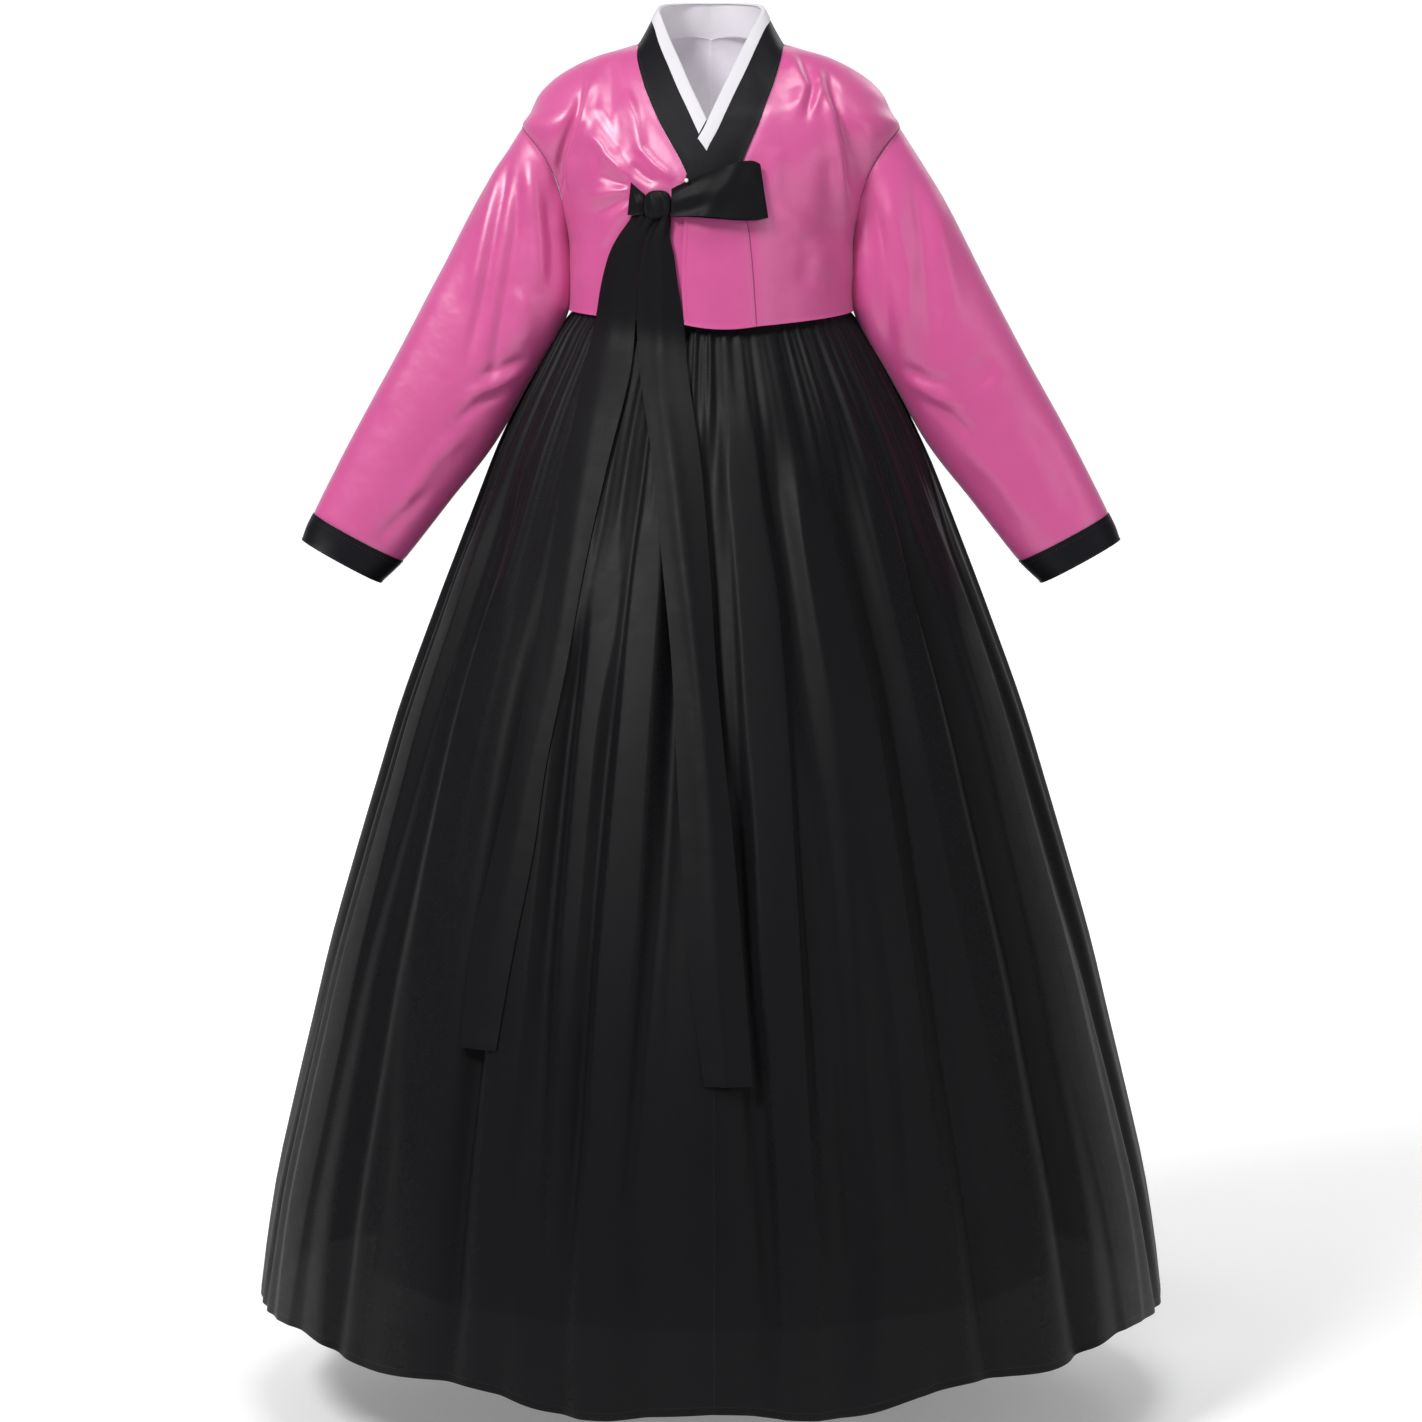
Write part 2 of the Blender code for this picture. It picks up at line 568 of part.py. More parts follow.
def add_backs():
    """Both halves of the back."""
    outer_edge = [(station, math.pi - angle) for station, angle in side_edge()]
    neckline = [(row.station, math.radians(row.angle)) for row in reversed(BACK_NECK)]
    start, hem = neckline[-1][0], place_of(TORSO, "height", BACK_HEM)
    above, below = ARM_ROWS - BACK_NECK_ROWS, SIDE_ROWS
    middle = [mix(start, UNDERARM_ROW, (i + 1) / above) for i in range(above)]
    middle += [mix(UNDERARM_ROW, hem, (i + 1) / below) for i in range(below)]
    inner_edge = neckline + [(station, math.pi) for station in middle]
    outer, inner = panel(inner_edge, outer_edge, lambda x, z: 0.0)
    add_wall("jeogori_back_left", outer, inner, PINK)
    add_wall("jeogori_back_right", flipped(outer), flipped(inner), PINK)


def collar_places():
    """Where the collar is cut across: on every row of the panels that it is sewn to."""
    front = [BACK_NECK_ROWS + place for place in front_neck_places()]
    front.insert(-1, (front[-2] + front[-1]) / 2)
    back = list(range(-BACK_NECK_ROWS, BACK_NECK_ROWS + 1))
    return [-place for place in reversed(front)] + back + front


def collar_columns(place):
    """Where the collar is cut lengthwise: the white strip's outer edge is one of its lines."""
    lower, upper, _ = neck(place)
    edge = 1.0 - STRIP_WIDTH / (upper - lower).length
    return 0.0, edge / 2, edge, 1.0


def add_collar():
    """The collar band, and the white strip that lies on it along its upper edge."""
    places = collar_places()
    base = [[collar(place, across) for across in collar_columns(place)] for place in places]
    outward = [[collar_out(place, across) for across in collar_columns(place)] for place in places]
    faces = [[[point + way * out for point, way in zip(*rows)] for rows in zip(base, outward)]
             for out in (BAND_PROUD, BAND_PROUD - BAND)]
    faces = [trimmed(grid, SEAM_GAP, last_column=False) for grid in faces]
    add_wall("jeogori_collar", *faces, BLACK)

    def on_line(place, column, out):
        i = max(k for k in range(len(places) - 1) if places[k] <= place)
        f = (place - places[i]) / (places[i + 1] - places[i])
        point, way = (rows[i][column].lerp(rows[i + 1][column], f) for rows in (base, outward))
        return point + way.normalized() * out
    first, last = (BACK_NECK_ROWS + min(STRIP_ENDS[side]) - STRIP_CLEAR for side in (-1, 1))
    inside = [place for place in places if -first < place < last]
    starts, ends = ([BACK_NECK_ROWS + row for row in STRIP_ENDS[side]] for side in (-1, 1))
    faces = []
    for out in (BAND_PROUD + STRIP_GAP + STRIP, BAND_PROUD + STRIP_GAP):
        lines = [[on_line(place, column, out) for place in [-start] + inside + [end]]
                 for column, start, end in zip((2, 3), reversed(starts), reversed(ends))]
        faces.append([list(row) for row in zip(*lines)])
    add_wall("jeogori_dongjeong", *faces, WHITE)


def add_sleeves():
    """Both sleeves and their cuffs."""
    turns = [math.pi * i / ARM_ROWS for i in range(2 * ARM_ROWS)]
    places = [CUFF_SEAM * (i / SLEEVE_ROWS) ** 1.15 for i in range(SLEEVE_ROWS + 1)]
    cuff_places = [CUFF_SEAM, CUFF_END]
    for name, rows, proud, wall, colour, last in (
            ("jeogori_sleeve", places, 0.0, SATIN, PINK, True),
            ("jeogori_cuff", cuff_places, BAND_PROUD, BAND, BLACK, False)):
        faces = []
        for out in (proud, proud - wall):
            grid = [[sleeve(place, turn) + sleeve_out(place, turn) * out for turn in turns] for place in rows]
            faces.append(trimmed(grid, SEAM_GAP, last_row=last, first_column=False, last_column=False))
        add_wall(name + "_left", *faces, colour, closed=True)
        add_wall(name + "_right", flipped(faces[0]), flipped(faces[1]), colour, closed=True)


def add_skirt():
    """The gathered skirt and its plainer lining."""
    columns = PLEATS * COLUMNS_PER_PLEAT
    angles = [2 * math.pi * i / columns for i in range(columns)]
    faces = [[[skirt(angle, share, inset) for angle in angles] for share in SKIRT_STEPS]
             for inset in (0.0, SKIRT_CLOTH)]
    faces = [trimmed(grid, SEAM_GAP, last_row=False, first_column=False, last_column=False) for grid in faces]
    add_wall("chima_skirt", *faces, BLACK, closed=True)

    faces = []
    for inset in (0.0, SKIRT_CLOTH):
        grid = []
        for row in SKIRT_LINING:
            fade = (row.height - SKIRT_LINING[0].height) / (SKIRT_LINING[-1].height - SKIRT_LINING[0].height)
            line = []
            for i in range(LINING_COLUMNS):
                angle = 2 * math.pi * i / LINING_COLUMNS
                wave = LINING_WAVE * fade * (1 + math.cos(LINING_WAVES * angle))
                line.append(oval(row, angle, inset + wave)[0])
            grid.append(line)
        faces.append(grid)
    add_wall("chima_lining", *faces, BLACK, closed=True)


def add_waistband():
    """The plain band that the pleats are sewn to, and the two straps that carry it from the shoulders."""
    low = SkirtRow(SKIRT_TOP, SKIRT[0].half_width, SKIRT[0].front, SKIRT[0].back, 0, 0)
    high = SkirtRow(BAND_TOP, *BAND_TOP_SIZE, 0, 0)
    angles = [2 * math.pi * i / BAND_COLUMNS for i in range(BAND_COLUMNS)]
    faces = [[[oval(row, angle, inset)[0] for angle in angles] for row in (high, low)]
             for inset in (0.0, WAISTBAND)]
    faces = [trimmed(grid, SEAM_GAP, first_column=False, last_column=False) for grid in faces]
    add_wall("chima_waistband", *faces, BLACK, closed=True)

    bottom = place_of(TORSO, "height", BAND_TOP + STRAP_CLEAR)
    for side, name in ((1, "chima_strap_left"), (-1, "chima_strap_right")):
        faces = []
        for depth in (0.0, RIBBON):
            grid = []
            for j in range(3):
                x = STRAP_X + STRAP_WIDTH * (j / 2 - 0.5)
                ridge = place_of([row._replace(half_width=-row.half_width) for row in TORSO[:6]],
                                 "half_width", -x)
                line = []
                for i in range(-STRAP_STEPS, STRAP_STEPS + 1):
                    share = abs(i) / STRAP_STEPS
                    front = i < 0
                    if share == 1.0:
                        low = high._replace(half_width=high.half_width - depth - STRAP_ON_BAND)
                        deep = (low.front if front else low.back) - depth - STRAP_ON_BAND
                        y = deep * math.sqrt(1.0 - (x / low.half_width) ** 2)
                        line.append(Vector((x * side, -y if front else y, BAND_TOP + SEAM_GAP)))
                        continue
                    station = mix(ridge, bottom, share ** 1.6)
                    angle = math.asin(min(1.0, x / row_at(TORSO, station).half_width))
                    angle = angle if front else math.pi - angle
                    inset = mix(STRAP_INSET, STRAP_BAND_INSET, ease(share))
                    point = skin(station, angle if i else math.radians(90.0), -inset - depth)
                    line.append(Vector((point.x * side, point.y, point.z)))
                grid.append(line)
            faces.append(grid)
        add_wall(name, *faces, WHITE)


def on_chest(x, z, out):
    """Point in front of the chest."""
    return skin(*on_front(x, z), out)


def add_bow_loop(name, rows, side):
    """A flattened loop of ribbon, open above and below; side 1 ends towards the wearer's left."""
    def ring(inset):
        front = [(row, row.front - inset) for row in rows]
        back = [(row, row.back + inset) for row in reversed(rows)]
        return front + back
    faces = []
    for inset in (0.0, RIBBON):
        grid = []
        for i in range(BOW_LEVELS):
            level = i / (BOW_LEVELS - 1)
            line = []
            for row, out in ring(inset):
                end = inset * side * (1 if row is rows[-1] else -1 if row is rows[0] else 0)
                x = mix(row.top_x, row.low_x, level) - end
                line.append(on_chest(x, mix(row.top_z, row.low_z, level), out))
            grid.append(line)
        faces.append(grid)
    add_wall(name, *faces, BLACK, closed=True)


def add_knot():
    """The bow's knot, a rounded wrap of ribbon."""
    round_count, level_count = KNOT_ROUND
    middle_out, half_out = sum(KNOT_OUT) / 2, (KNOT_OUT[1] - KNOT_OUT[0]) / 2
    power = 2.0 / KNOT_SQUARENESS

    def bent(value):
        return math.copysign(abs(value) ** power, value)

    def point(turn, rise):
        flat = bent(math.cos(rise))
        x = KNOT_CENTRE[0] + KNOT_SIZE[0] / 2 * bent(math.cos(turn)) * flat
        z = KNOT_CENTRE[1] + KNOT_SIZE[1] / 2 * bent(math.sin(rise))
        return on_chest(x, z, middle_out + half_out * bent(math.sin(turn)) * flat)
    bm = bmesh.new()
    rings = []
    for i in range(1, level_count):
        rise = math.pi * (i / level_count - 0.5)
        rings.append([bm.verts.new(point(2 * math.pi * j / round_count, rise)) for j in range(round_count)])
    ends = [bm.verts.new(point(0.0, rise)) for rise in (-math.pi / 2, math.pi / 2)]
    for j in range(round_count):
        k = (j + 1) % round_count
        for low, high in zip(rings, rings[1:]):
            bm.faces.new((low[j], low[k], high[k], high[j]))
        bm.faces.new((ends[0], rings[0][k], rings[0][j]))
        bm.faces.new((ends[1], rings[-1][j], rings[-1][k]))
    add_object("goreum_knot", bm, BLACK)


def tail_heights(rows):
    """Heights of a tail's rows: down the chest, then the skirt's own rows and halfway between them."""
    heights = [TAIL_CHEST_HEIGHTS[-1]]
    for share in SKIRT_STEPS[2:]:
        height = mix(SKIRT_TOP, HEM[0].height, share)
        row = row_at(rows, place_of(rows, "height", height))
        width = row_at(SKIRT, place_of(SKIRT, "height", height)).half_width
        height = mix(SKIRT_TOP, hem(math.asin((row.left + row.right) / 2 / width)), share)
        height = max(height, rows[-1].height)
        heights += [(heights[-1] + height) / 2, height]
        if height == rows[-1].height:
            break
    return TAIL_CHEST_HEIGHTS[:-1] + heights


def add_tail(name, rows):
    """One long end of the ribbon: down the chest, then lying on the skirt."""
    faces = [[], []]
    for height in tail_heights(rows):
        row = row_at(rows, place_of(rows, "height", height))
        lines = [[], []]
        for j in range(TAIL_COLUMNS + 1):
            share = j / TAIL_COLUMNS
            x = mix(row.left, row.right, share)
            chest = -torso(*on_front(x, max(height, TORSO[-2].height))).y
            y = -max(chest + row.lift, skirt_front(x, height) + TAIL_ON_SKIRT)
            y -= TAIL_CUP * math.sin(math.pi * share)
            lines[0].append(Vector((x, y - RIBBON, height)))
            lines[1].append(Vector((x, y, height)))
        faces[0].append(lines[0])
        faces[1].append(lines[1])
    add_wall(name, *faces, BLACK)


def main():
    """Builds every piece in an empty scene."""
    for old in list(bpy.data.objects):
        bpy.data.objects.remove(old, do_unlink=True)
    add_skirt()
    add_waistband()
    add_fronts()
    add_overlap("jeogori_seop_outer", 1, LEFT_SEAM, FREE_EDGE, HEM_SAG, lap)
    add_overlap("jeogori_seop_inner", -1, RIGHT_SEAM, HIDDEN_EDGE, 0.0, lambda x, z: 0.0)
    add_backs()
    add_collar()
    add_sleeves()
    add_knot()
    add_bow_loop("goreum_loop", LOOP, 1)
    add_bow_loop("goreum_ear", EAR, -1)
    add_tail("goreum_tail_left", LEFT_TAIL)
    add_tail("goreum_tail_right", RIGHT_TAIL)


main()
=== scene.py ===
"""Hanbok, filled out as if worn: a lined satin jacket tied with a ribbon bow over a full gathered skirt.

Metres, +Z up. The origin lies between the shoulders at the base of the neck, the front faces -Y and the
wearer's left is +X. Each piece of cloth is a thin closed shell on the form of its solid, with its folds
listed one by one. Places on the jacket are a station down the torso and an angle round it, 0 at the front.
"""

import logging
import math
from dataclasses import dataclass, field
from enum import Enum
from typing import Callable, Optional, Sequence

import bpy
import numpy as np
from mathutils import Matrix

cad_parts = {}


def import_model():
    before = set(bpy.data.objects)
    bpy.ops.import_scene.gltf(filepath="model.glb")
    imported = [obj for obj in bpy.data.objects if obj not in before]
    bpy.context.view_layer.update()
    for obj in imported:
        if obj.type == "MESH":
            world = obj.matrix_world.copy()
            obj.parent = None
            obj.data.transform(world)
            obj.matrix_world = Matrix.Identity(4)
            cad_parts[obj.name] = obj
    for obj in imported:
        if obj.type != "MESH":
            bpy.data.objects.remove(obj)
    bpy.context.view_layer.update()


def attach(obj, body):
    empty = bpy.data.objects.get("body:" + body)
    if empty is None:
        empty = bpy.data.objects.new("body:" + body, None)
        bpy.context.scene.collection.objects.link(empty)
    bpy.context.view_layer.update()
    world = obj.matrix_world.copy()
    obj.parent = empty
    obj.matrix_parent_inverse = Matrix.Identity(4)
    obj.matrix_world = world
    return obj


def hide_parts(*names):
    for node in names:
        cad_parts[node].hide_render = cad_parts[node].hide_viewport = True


LOG = logging.getLogger("hanbok")
Array = np.ndarray
Place = tuple[float, float]
Spot = tuple[float, float, float]
Piece = bpy.types.Object
Tree = bpy.types.NodeTree
Socket = bpy.types.NodeSocket


class Side(Enum):
    """The half of the garment that a fold lies on."""
    FRONT = -1.0
    BACK = 1.0


class Border(Enum):
    """How the cloth ends: sewn to the next piece, or turned in and free. The value lifts its edge."""
    SEAM = -0.0005
    FREE = 0.0006
    PLAIN = 0.0


# Numbers shared by several pieces
LINED = 0.0010           # thickness of satin with its lining
BAND = 0.0018            # collar and cuffs, with their stiffening
RIBBON = 0.0011
CHIFFON = 0.0009
SEAM_GAP = 0.0001        # between two pieces that are sewn together
PROUD = 0.0005           # how far collar and cuffs stand over the satin
SEAM_REACH = 0.0028      # how far from a seam the cloth still dips
SHOULDER_ROW, UNDERARM_ROW, ARMHOLE_TURN = 5, 7, 23.0
ARM_ROWS, SIDE_ROWS = 10, 4
BACK_NECK_ROWS, FRONT_NECK_ROWS = 5, 8
SKIRT_TOP = -0.2353
# Where the left front laps over the right one
LAP_LIFT, LAP_TOP, LAP_SIDE, LAP_FADE = 0.0030, -0.030, 0.085, 0.040
# The dent between chest and sleeve: a line that leans outwards, and shares of the depth in front and behind
DENT_X, DENT_Z, DENT_LEAN, DENT_WIDTH = 0.1273, -0.0155, 0.28, 0.016
DENT_FRONT, DENT_BACK, DENT_TOP, DENT_FADE = 0.22, 0.08, -0.020, 0.100
SLEEVE_POWER = 2.0 / 2.15        # how full its section is
SLEEVE_BLEND = 1.6               # place where the armhole's form has faded out
FOLD_FADE, FOLD_START = 0.30, 0.15    # share of a fold over which it fades, and its height at the very end
FACING_DEPTH = 0.02              # over this depth the folds in front give way to those behind
MILLIMETRE = 0.001
ROOT = "root"
CLOTH = "_cloth"         # end of the name of a piece that stands for a solid


class Profile:
    """Rows of numbers joined by smooth curves; place 0 is the first row."""

    def __init__(self, *rows: Sequence[float]) -> None:
        """Keeps the rows."""
        self.rows = np.array(rows, float)
        self.last = len(rows) - 1

    def at(self, place: Array) -> Array:
        """Values at some places.

        Args:
            place: places between the rows, of any shape.

        Returns:
            The values, with the table's columns as last axis.
        """
        place = np.asarray(place, float)
        start = np.clip(np.floor(place), 0, self.last - 1).astype(int)
        f = (place - start)[..., None]
        a, b, c, d = (self.rows[np.clip(start + step, 0, self.last)] for step in (-1, 0, 1, 2))
        return 0.5 * (2 * b + (c - a) * f + (2 * a - 5 * b + 4 * c - d) * f ** 2
                      + (3 * b - a - 3 * c + d) * f ** 3)

    def place(self, column: int, value: Array) -> Array:
        """Places where a falling column has some values.

        Args:
            column: the column's number.
            value: the values sought.

        Returns:
            Their places.
        """
        dense = np.linspace(0, self.last, 200 * self.last + 1)
        return np.interp(-np.asarray(value, float), -self.at(dense)[:, column], dense)


# height, half width, depth in front and behind, how much higher the back lies
TORSO = Profile(
    (0.0120, 0.066, 0.012, 0.030, 0.012), (0.0060, 0.100, 0.036, 0.052, 0.022),
    (-0.0040, 0.132, 0.050, 0.064, 0.031), (-0.0230, 0.166, 0.066, 0.077, 0.0465),
    (-0.0470, 0.189, 0.083, 0.089, 0.034), (-0.0760, 0.204, 0.100, 0.098, 0.020),
    (-0.1270, 0.183, 0.119, 0.106, 0.006), (-0.1850, 0.158, 0.128, 0.108, 0.0),
    (-0.2250, 0.155, 0.130, 0.107, 0.0), (-0.3000, 0.156, 0.131, 0.106, 0.0))
# station, angle in degrees, and the collar's upper edge, from the middle of the back to the side
BACK_NECK = Profile(
    (3.00, 180.0, 0.0000, 0.0625, 0.0605), (2.20, 164.0, 0.0205, 0.0590, 0.0602),
    (1.55, 148.5, 0.0375, 0.0490, 0.0590), (1.00, 133.0, 0.0490, 0.0350, 0.0570),
    (0.60, 113.0, 0.0550, 0.0190, 0.0535), (0.31, 90.0, 0.0560, 0.0020, 0.0480))
# collar's lower edge x and z, upper edge x, y and z, and how far it lies on the chest
UPPER_NECK = Profile(
    (0.0765, 0.0105, 0.0560, 0.0020, 0.0480, 0.0), (0.0735, -0.0080, 0.0400, -0.0300, 0.0180, 0.0),
    (0.0663, -0.0335, 0.0245, -0.0610, -0.0148, 0.6), (0.0588, -0.0531, 0.0137, -0.0790, -0.0375, 1.0),
    (0.0502, -0.0772, 0.0040, -0.0930, -0.0585, 1.0), (0.0407, -0.0995, -0.0058, -0.1050, -0.0800, 1.0),
    (0.0323, -0.1200, -0.0170, -0.1140, -0.1020, 1.0), (0.0245, -0.1472, -0.0278, -0.1220, -0.1390, 1.0))
LOWER_NECK = Profile(
    (0.0765, 0.0105, 0.0560, 0.0020, 0.0480, 0.0), (0.0780, -0.0067, 0.0440, -0.0300, 0.0155, 0.0),
    (0.0712, -0.0335, 0.0318, -0.0600, -0.0130, 0.6), (0.0640, -0.0531, 0.0215, -0.0790, -0.0375, 1.0),
    (0.0545, -0.0750, 0.0115, -0.0940, -0.0590, 1.0), (0.0425, -0.0970, 0.0020, -0.1050, -0.0800, 1.0),
    (0.0325, -0.1150, -0.0085, -0.1140, -0.1050, 1.0), (0.0250, -0.1310, -0.0130, -0.1200, -0.1250, 1.0))
LEFT_SEAM = Profile((0.0252, -0.1486), (0.0325, -0.1670), (0.0380, -0.1850), (0.0412, -0.2100),
                    (0.0434, -0.2360), (0.0452, -0.2620), (0.0470, -0.2885))
FREE_EDGE = Profile((-0.0278, -0.1404), (-0.0275, -0.1620), (-0.0276, -0.1820), (-0.0292, -0.2080),
                    (-0.0299, -0.2340), (-0.0294, -0.2600), (-0.0274, -0.2868))
RIGHT_SEAM = Profile((0.0250, -0.1324), (0.0247, -0.1580), (0.0243, -0.1840), (0.0236, -0.2100),
                     (0.0228, -0.2360), (0.0219, -0.2610), (0.0210, -0.2860))
HIDDEN_EDGE = Profile(*((-0.0300, z) for z in RIGHT_SEAM.rows[:, 1]))
SIDE_HEIGHTS = (-0.1850, -0.2060, -0.2270, -0.2480, -0.2680)
BACK_HEM = -0.2660
# sleeve's outer edge x and z, inner edge x and z, middle's y, half depth
SLEEVE = Profile(
    (0.2040, -0.0760, 0.1580, -0.1850, 0.000, 0.049), (0.2523, -0.1561, 0.1618, -0.2640, -0.003, 0.051),
    (0.2951, -0.2391, 0.1945, -0.3395, -0.008, 0.049), (0.3388, -0.3219, 0.2320, -0.4120, -0.016, 0.045),
    (0.3841, -0.4038, 0.2810, -0.4755, -0.025, 0.040), (0.4266, -0.4873, 0.3310, -0.5390, -0.033, 0.036),
    (0.4385, -0.5157, 0.3550, -0.5617, -0.036, 0.035))
CUFF_SEAM, CUFF_END = 5.0, 6.0
# height, half width, front, back, depth of the pleats and of the folds
SKIRT = Profile(
    (-0.2353, 0.1395, 0.1130, 0.0970, 0.0018, 0.0000), (-0.2680, 0.1485, 0.1190, 0.1000, 0.0030, 0.0005),
    (-0.2921, 0.1670, 0.1255, 0.1100, 0.0048, 0.0010), (-0.3242, 0.1850, 0.1430, 0.1300, 0.0065, 0.0030),
    (-0.3671, 0.2080, 0.1670, 0.1560, 0.0075, 0.0060), (-0.4100, 0.2285, 0.1880, 0.1780, 0.0070, 0.0090),
    (-0.4530, 0.2463, 0.2070, 0.1980, 0.0060, 0.0115), (-0.5176, 0.2717, 0.2340, 0.2260, 0.0045, 0.0140),
    (-0.5823, 0.2966, 0.2600, 0.2530, 0.0030, 0.0160), (-0.6903, 0.3363, 0.3000, 0.2940, 0.0015, 0.0175),
    (-0.7769, 0.3632, 0.3290, 0.3240, 0.0010, 0.0180), (-0.8637, 0.3891, 0.3560, 0.3510, 0.0000, 0.0180),
    (-0.9506, 0.4141, 0.3810, 0.3760, 0.0000, 0.0175), (-1.0378, 0.4353, 0.4030, 0.3980, 0.0000, 0.0170),
    (-1.1252, 0.4565, 0.4240, 0.4180, 0.0000, 0.0160), (-1.2128, 0.4764, 0.4420, 0.4350, 0.0000, 0.0150),
    (-1.3008, 0.4904, 0.4560, 0.4490, 0.0000, 0.0140), (-1.3600, 0.4970, 0.4630, 0.4560, 0.0000, 0.0135))
# height every fifteen degrees, from the front round to the back
HEM = Profile(*((z,) for z in (-1.357, -1.366, -1.345, -1.348, -1.334, -1.340, -1.345,
                               -1.350, -1.343, -1.352, -1.358, -1.350, -1.353)))
SKIRT_LINING = Profile(
    (-0.2250, 0.1342, 0.1077, 0.0917), (-0.2780, 0.1400, 0.1110, 0.0920), (-0.3300, 0.1520, 0.1210, 0.1080),
    (-0.4500, 0.1900, 0.1620, 0.1540), (-0.6500, 0.2440, 0.2180, 0.2120), (-0.8500, 0.2900, 0.2650, 0.2600),
    (-1.0800, 0.3350, 0.3110, 0.3060), (-1.3020, 0.3760, 0.3520, 0.3460))


def ease(share: Array) -> Array:
    """Smooth step from 0 to 1."""
    share = np.clip(share, 0.0, 1.0)
    return share * share * (3.0 - 2.0 * share)


def hump(distance: Array, reach: Array) -> Array:
    """Rounded hump, 1 where the distance is 0."""
    return np.exp(-(distance / reach) ** 2)


def fuller(value: Array, power: float) -> Array:
    """Sine or cosine of a section with fuller corners than an oval's."""
    return np.sign(value) * np.abs(value) ** power


def round_turn(count: int) -> Array:
    """Angles once round, as one row."""
    return np.linspace(0, 2 * math.pi, count, endpoint=False)[None, :]


def mirrored(grid: Array, side: float) -> Array:
    """Points of the wearer's left side, brought to the side that is wanted."""
    return grid * np.array((side, 1.0, 1.0))


def points(x: Array, y: Array, z: Array) -> Array:
    """Points from their three coordinates."""
    return np.stack(np.broadcast_arrays(x, y, z), axis=-1)


def unit(vectors: Array) -> Array:
    """Vectors of length 1."""
    return vectors / np.maximum(np.linalg.norm(vectors, axis=-1, keepdims=True), 1e-12)


def near_edges(count: int, close: Sequence[float] = (0.006, 0.016, 0.032)) -> Array:
    """Shares from 0 to 1 that lie closer together at both ends.

    Args:
        count: how many evenly spaced shares lie between.
        close: the shares near an end.

    Returns:
        The shares, rising.
    """
    start = np.array((0.0, *close))
    return np.concatenate([start, np.linspace(close[-1], 1 - close[-1], count + 2)[1:-1], 1 - start[::-1]])


def torso(station: Array, angle: Array) -> Array:
    """Points of the jacket's outer face.

    Args:
        station: places down the torso.
        angle: angles round it.

    Returns:
        The points.
    """
    height, half, front, back, rise = np.moveaxis(TORSO.at(station), -1, 0)
    y = -np.where(np.cos(angle) > 0, front, back) * np.cos(angle)
    x = half * np.sin(angle)
    z = height + rise * np.maximum(0.0, -np.cos(angle)) ** 2
    crease_x = DENT_X + DENT_LEAN * (DENT_Z - z)
    share = np.where(y < 0, DENT_FRONT, DENT_BACK) * ease((DENT_TOP - z) / DENT_FADE)
    return points(x, y * (1.0 - share * hump(np.abs(x) - crease_x, DENT_WIDTH)), z)


def skin(station: Array, angle: Array, out: Array = 0.0) -> Array:
    """Points of the jacket, moved out.

    Args:
        station: places down the torso.
        angle: angles round it.
        out: distances from the outer face.

    Returns:
        The points.
    """
    step = 0.02
    down = torso(station + step, angle) - torso(station - step, angle)
    around = torso(station, angle + step) - torso(station, angle - step)
    return torso(station, angle) + unit(np.cross(down, around)) * np.asarray(out)[..., None]


def on_front(x: Array, z: Array) -> tuple[Array, Array]:
    """Stations and angles of places seen from the front."""
    station = TORSO.place(0, z)
    return station, np.arcsin(np.clip(x / TORSO.at(station)[..., 1], -1.0, 1.0))


def on_chest(x: Array, z: Array, out: Array) -> Array:
    """Points in front of the chest."""
    return skin(*on_front(x, z), out)


def lap(x: Array, z: Array) -> Array:
    """How far the wearer's left front is lifted where it lies over the right one."""
    return LAP_LIFT * ease((LAP_TOP - z) / LAP_FADE) * ease((LAP_SIDE - x) / LAP_FADE)


def armhole(turn: Array) -> tuple[Array, Array]:
    """Station and angle of the left armhole; turn 0 is its top, a quarter turn its front."""
    middle = (SHOULDER_ROW + UNDERARM_ROW) / 2
    return middle - np.cos(turn), np.radians(90.0 - ARMHOLE_TURN * np.sin(turn))


def neck(place: Array) -> tuple[Array, Array, Array]:
    """Edges of the collar.

    Args:
        place: 0 at the back's middle, up to 12 at the left front end and down to -12 at the right one.

    Returns:
        Lower edge, upper edge, and how far the collar lies on the chest.
    """
    side, down = np.where(place >= 0, 1.0, -1.0), np.abs(place)
    back = BACK_NECK.at(np.minimum(down, BACK_NECK_ROWS))
    ahead = np.maximum(down - BACK_NECK_ROWS, 0.0)
    front = np.where((side > 0)[..., None], UPPER_NECK.at(ahead), LOWER_NECK.at(ahead))
    behind = down <= BACK_NECK_ROWS
    lower = np.where(behind[..., None], torso(back[..., 0], np.radians(back[..., 1]) * side),
                     torso(*on_front(front[..., 0] * side, front[..., 1])))
    upper = np.where(behind[..., None], points(back[..., 2] * side, back[..., 3], back[..., 4]),
                     points(front[..., 2] * side, front[..., 3], front[..., 4]))
    return lower, upper, np.where(behind, 0.0, np.clip(front[..., 5], 0.0, 1.0))


def collar_base(place: Array, across: Array) -> Array:
    """Points of the collar's base.

    Args:
        place: places along the collar.
        across: shares across it, 0 at its lower edge and 1 at its upper one.

    Returns:
        The points.
    """
    place, across = np.broadcast_arrays(np.asarray(place, float), np.asarray(across, float))
    lower, upper, hug = neck(place)
    point = lower + (upper - lower) * across[..., None]
    chest = torso(*on_front(point[..., 0], point[..., 2]))[..., 1]
    over = np.where(place > BACK_NECK_ROWS, lap(point[..., 0], point[..., 2]) * hug, 0.0)
    point[..., 1] += (chest - point[..., 1]) * hug - over
    return point


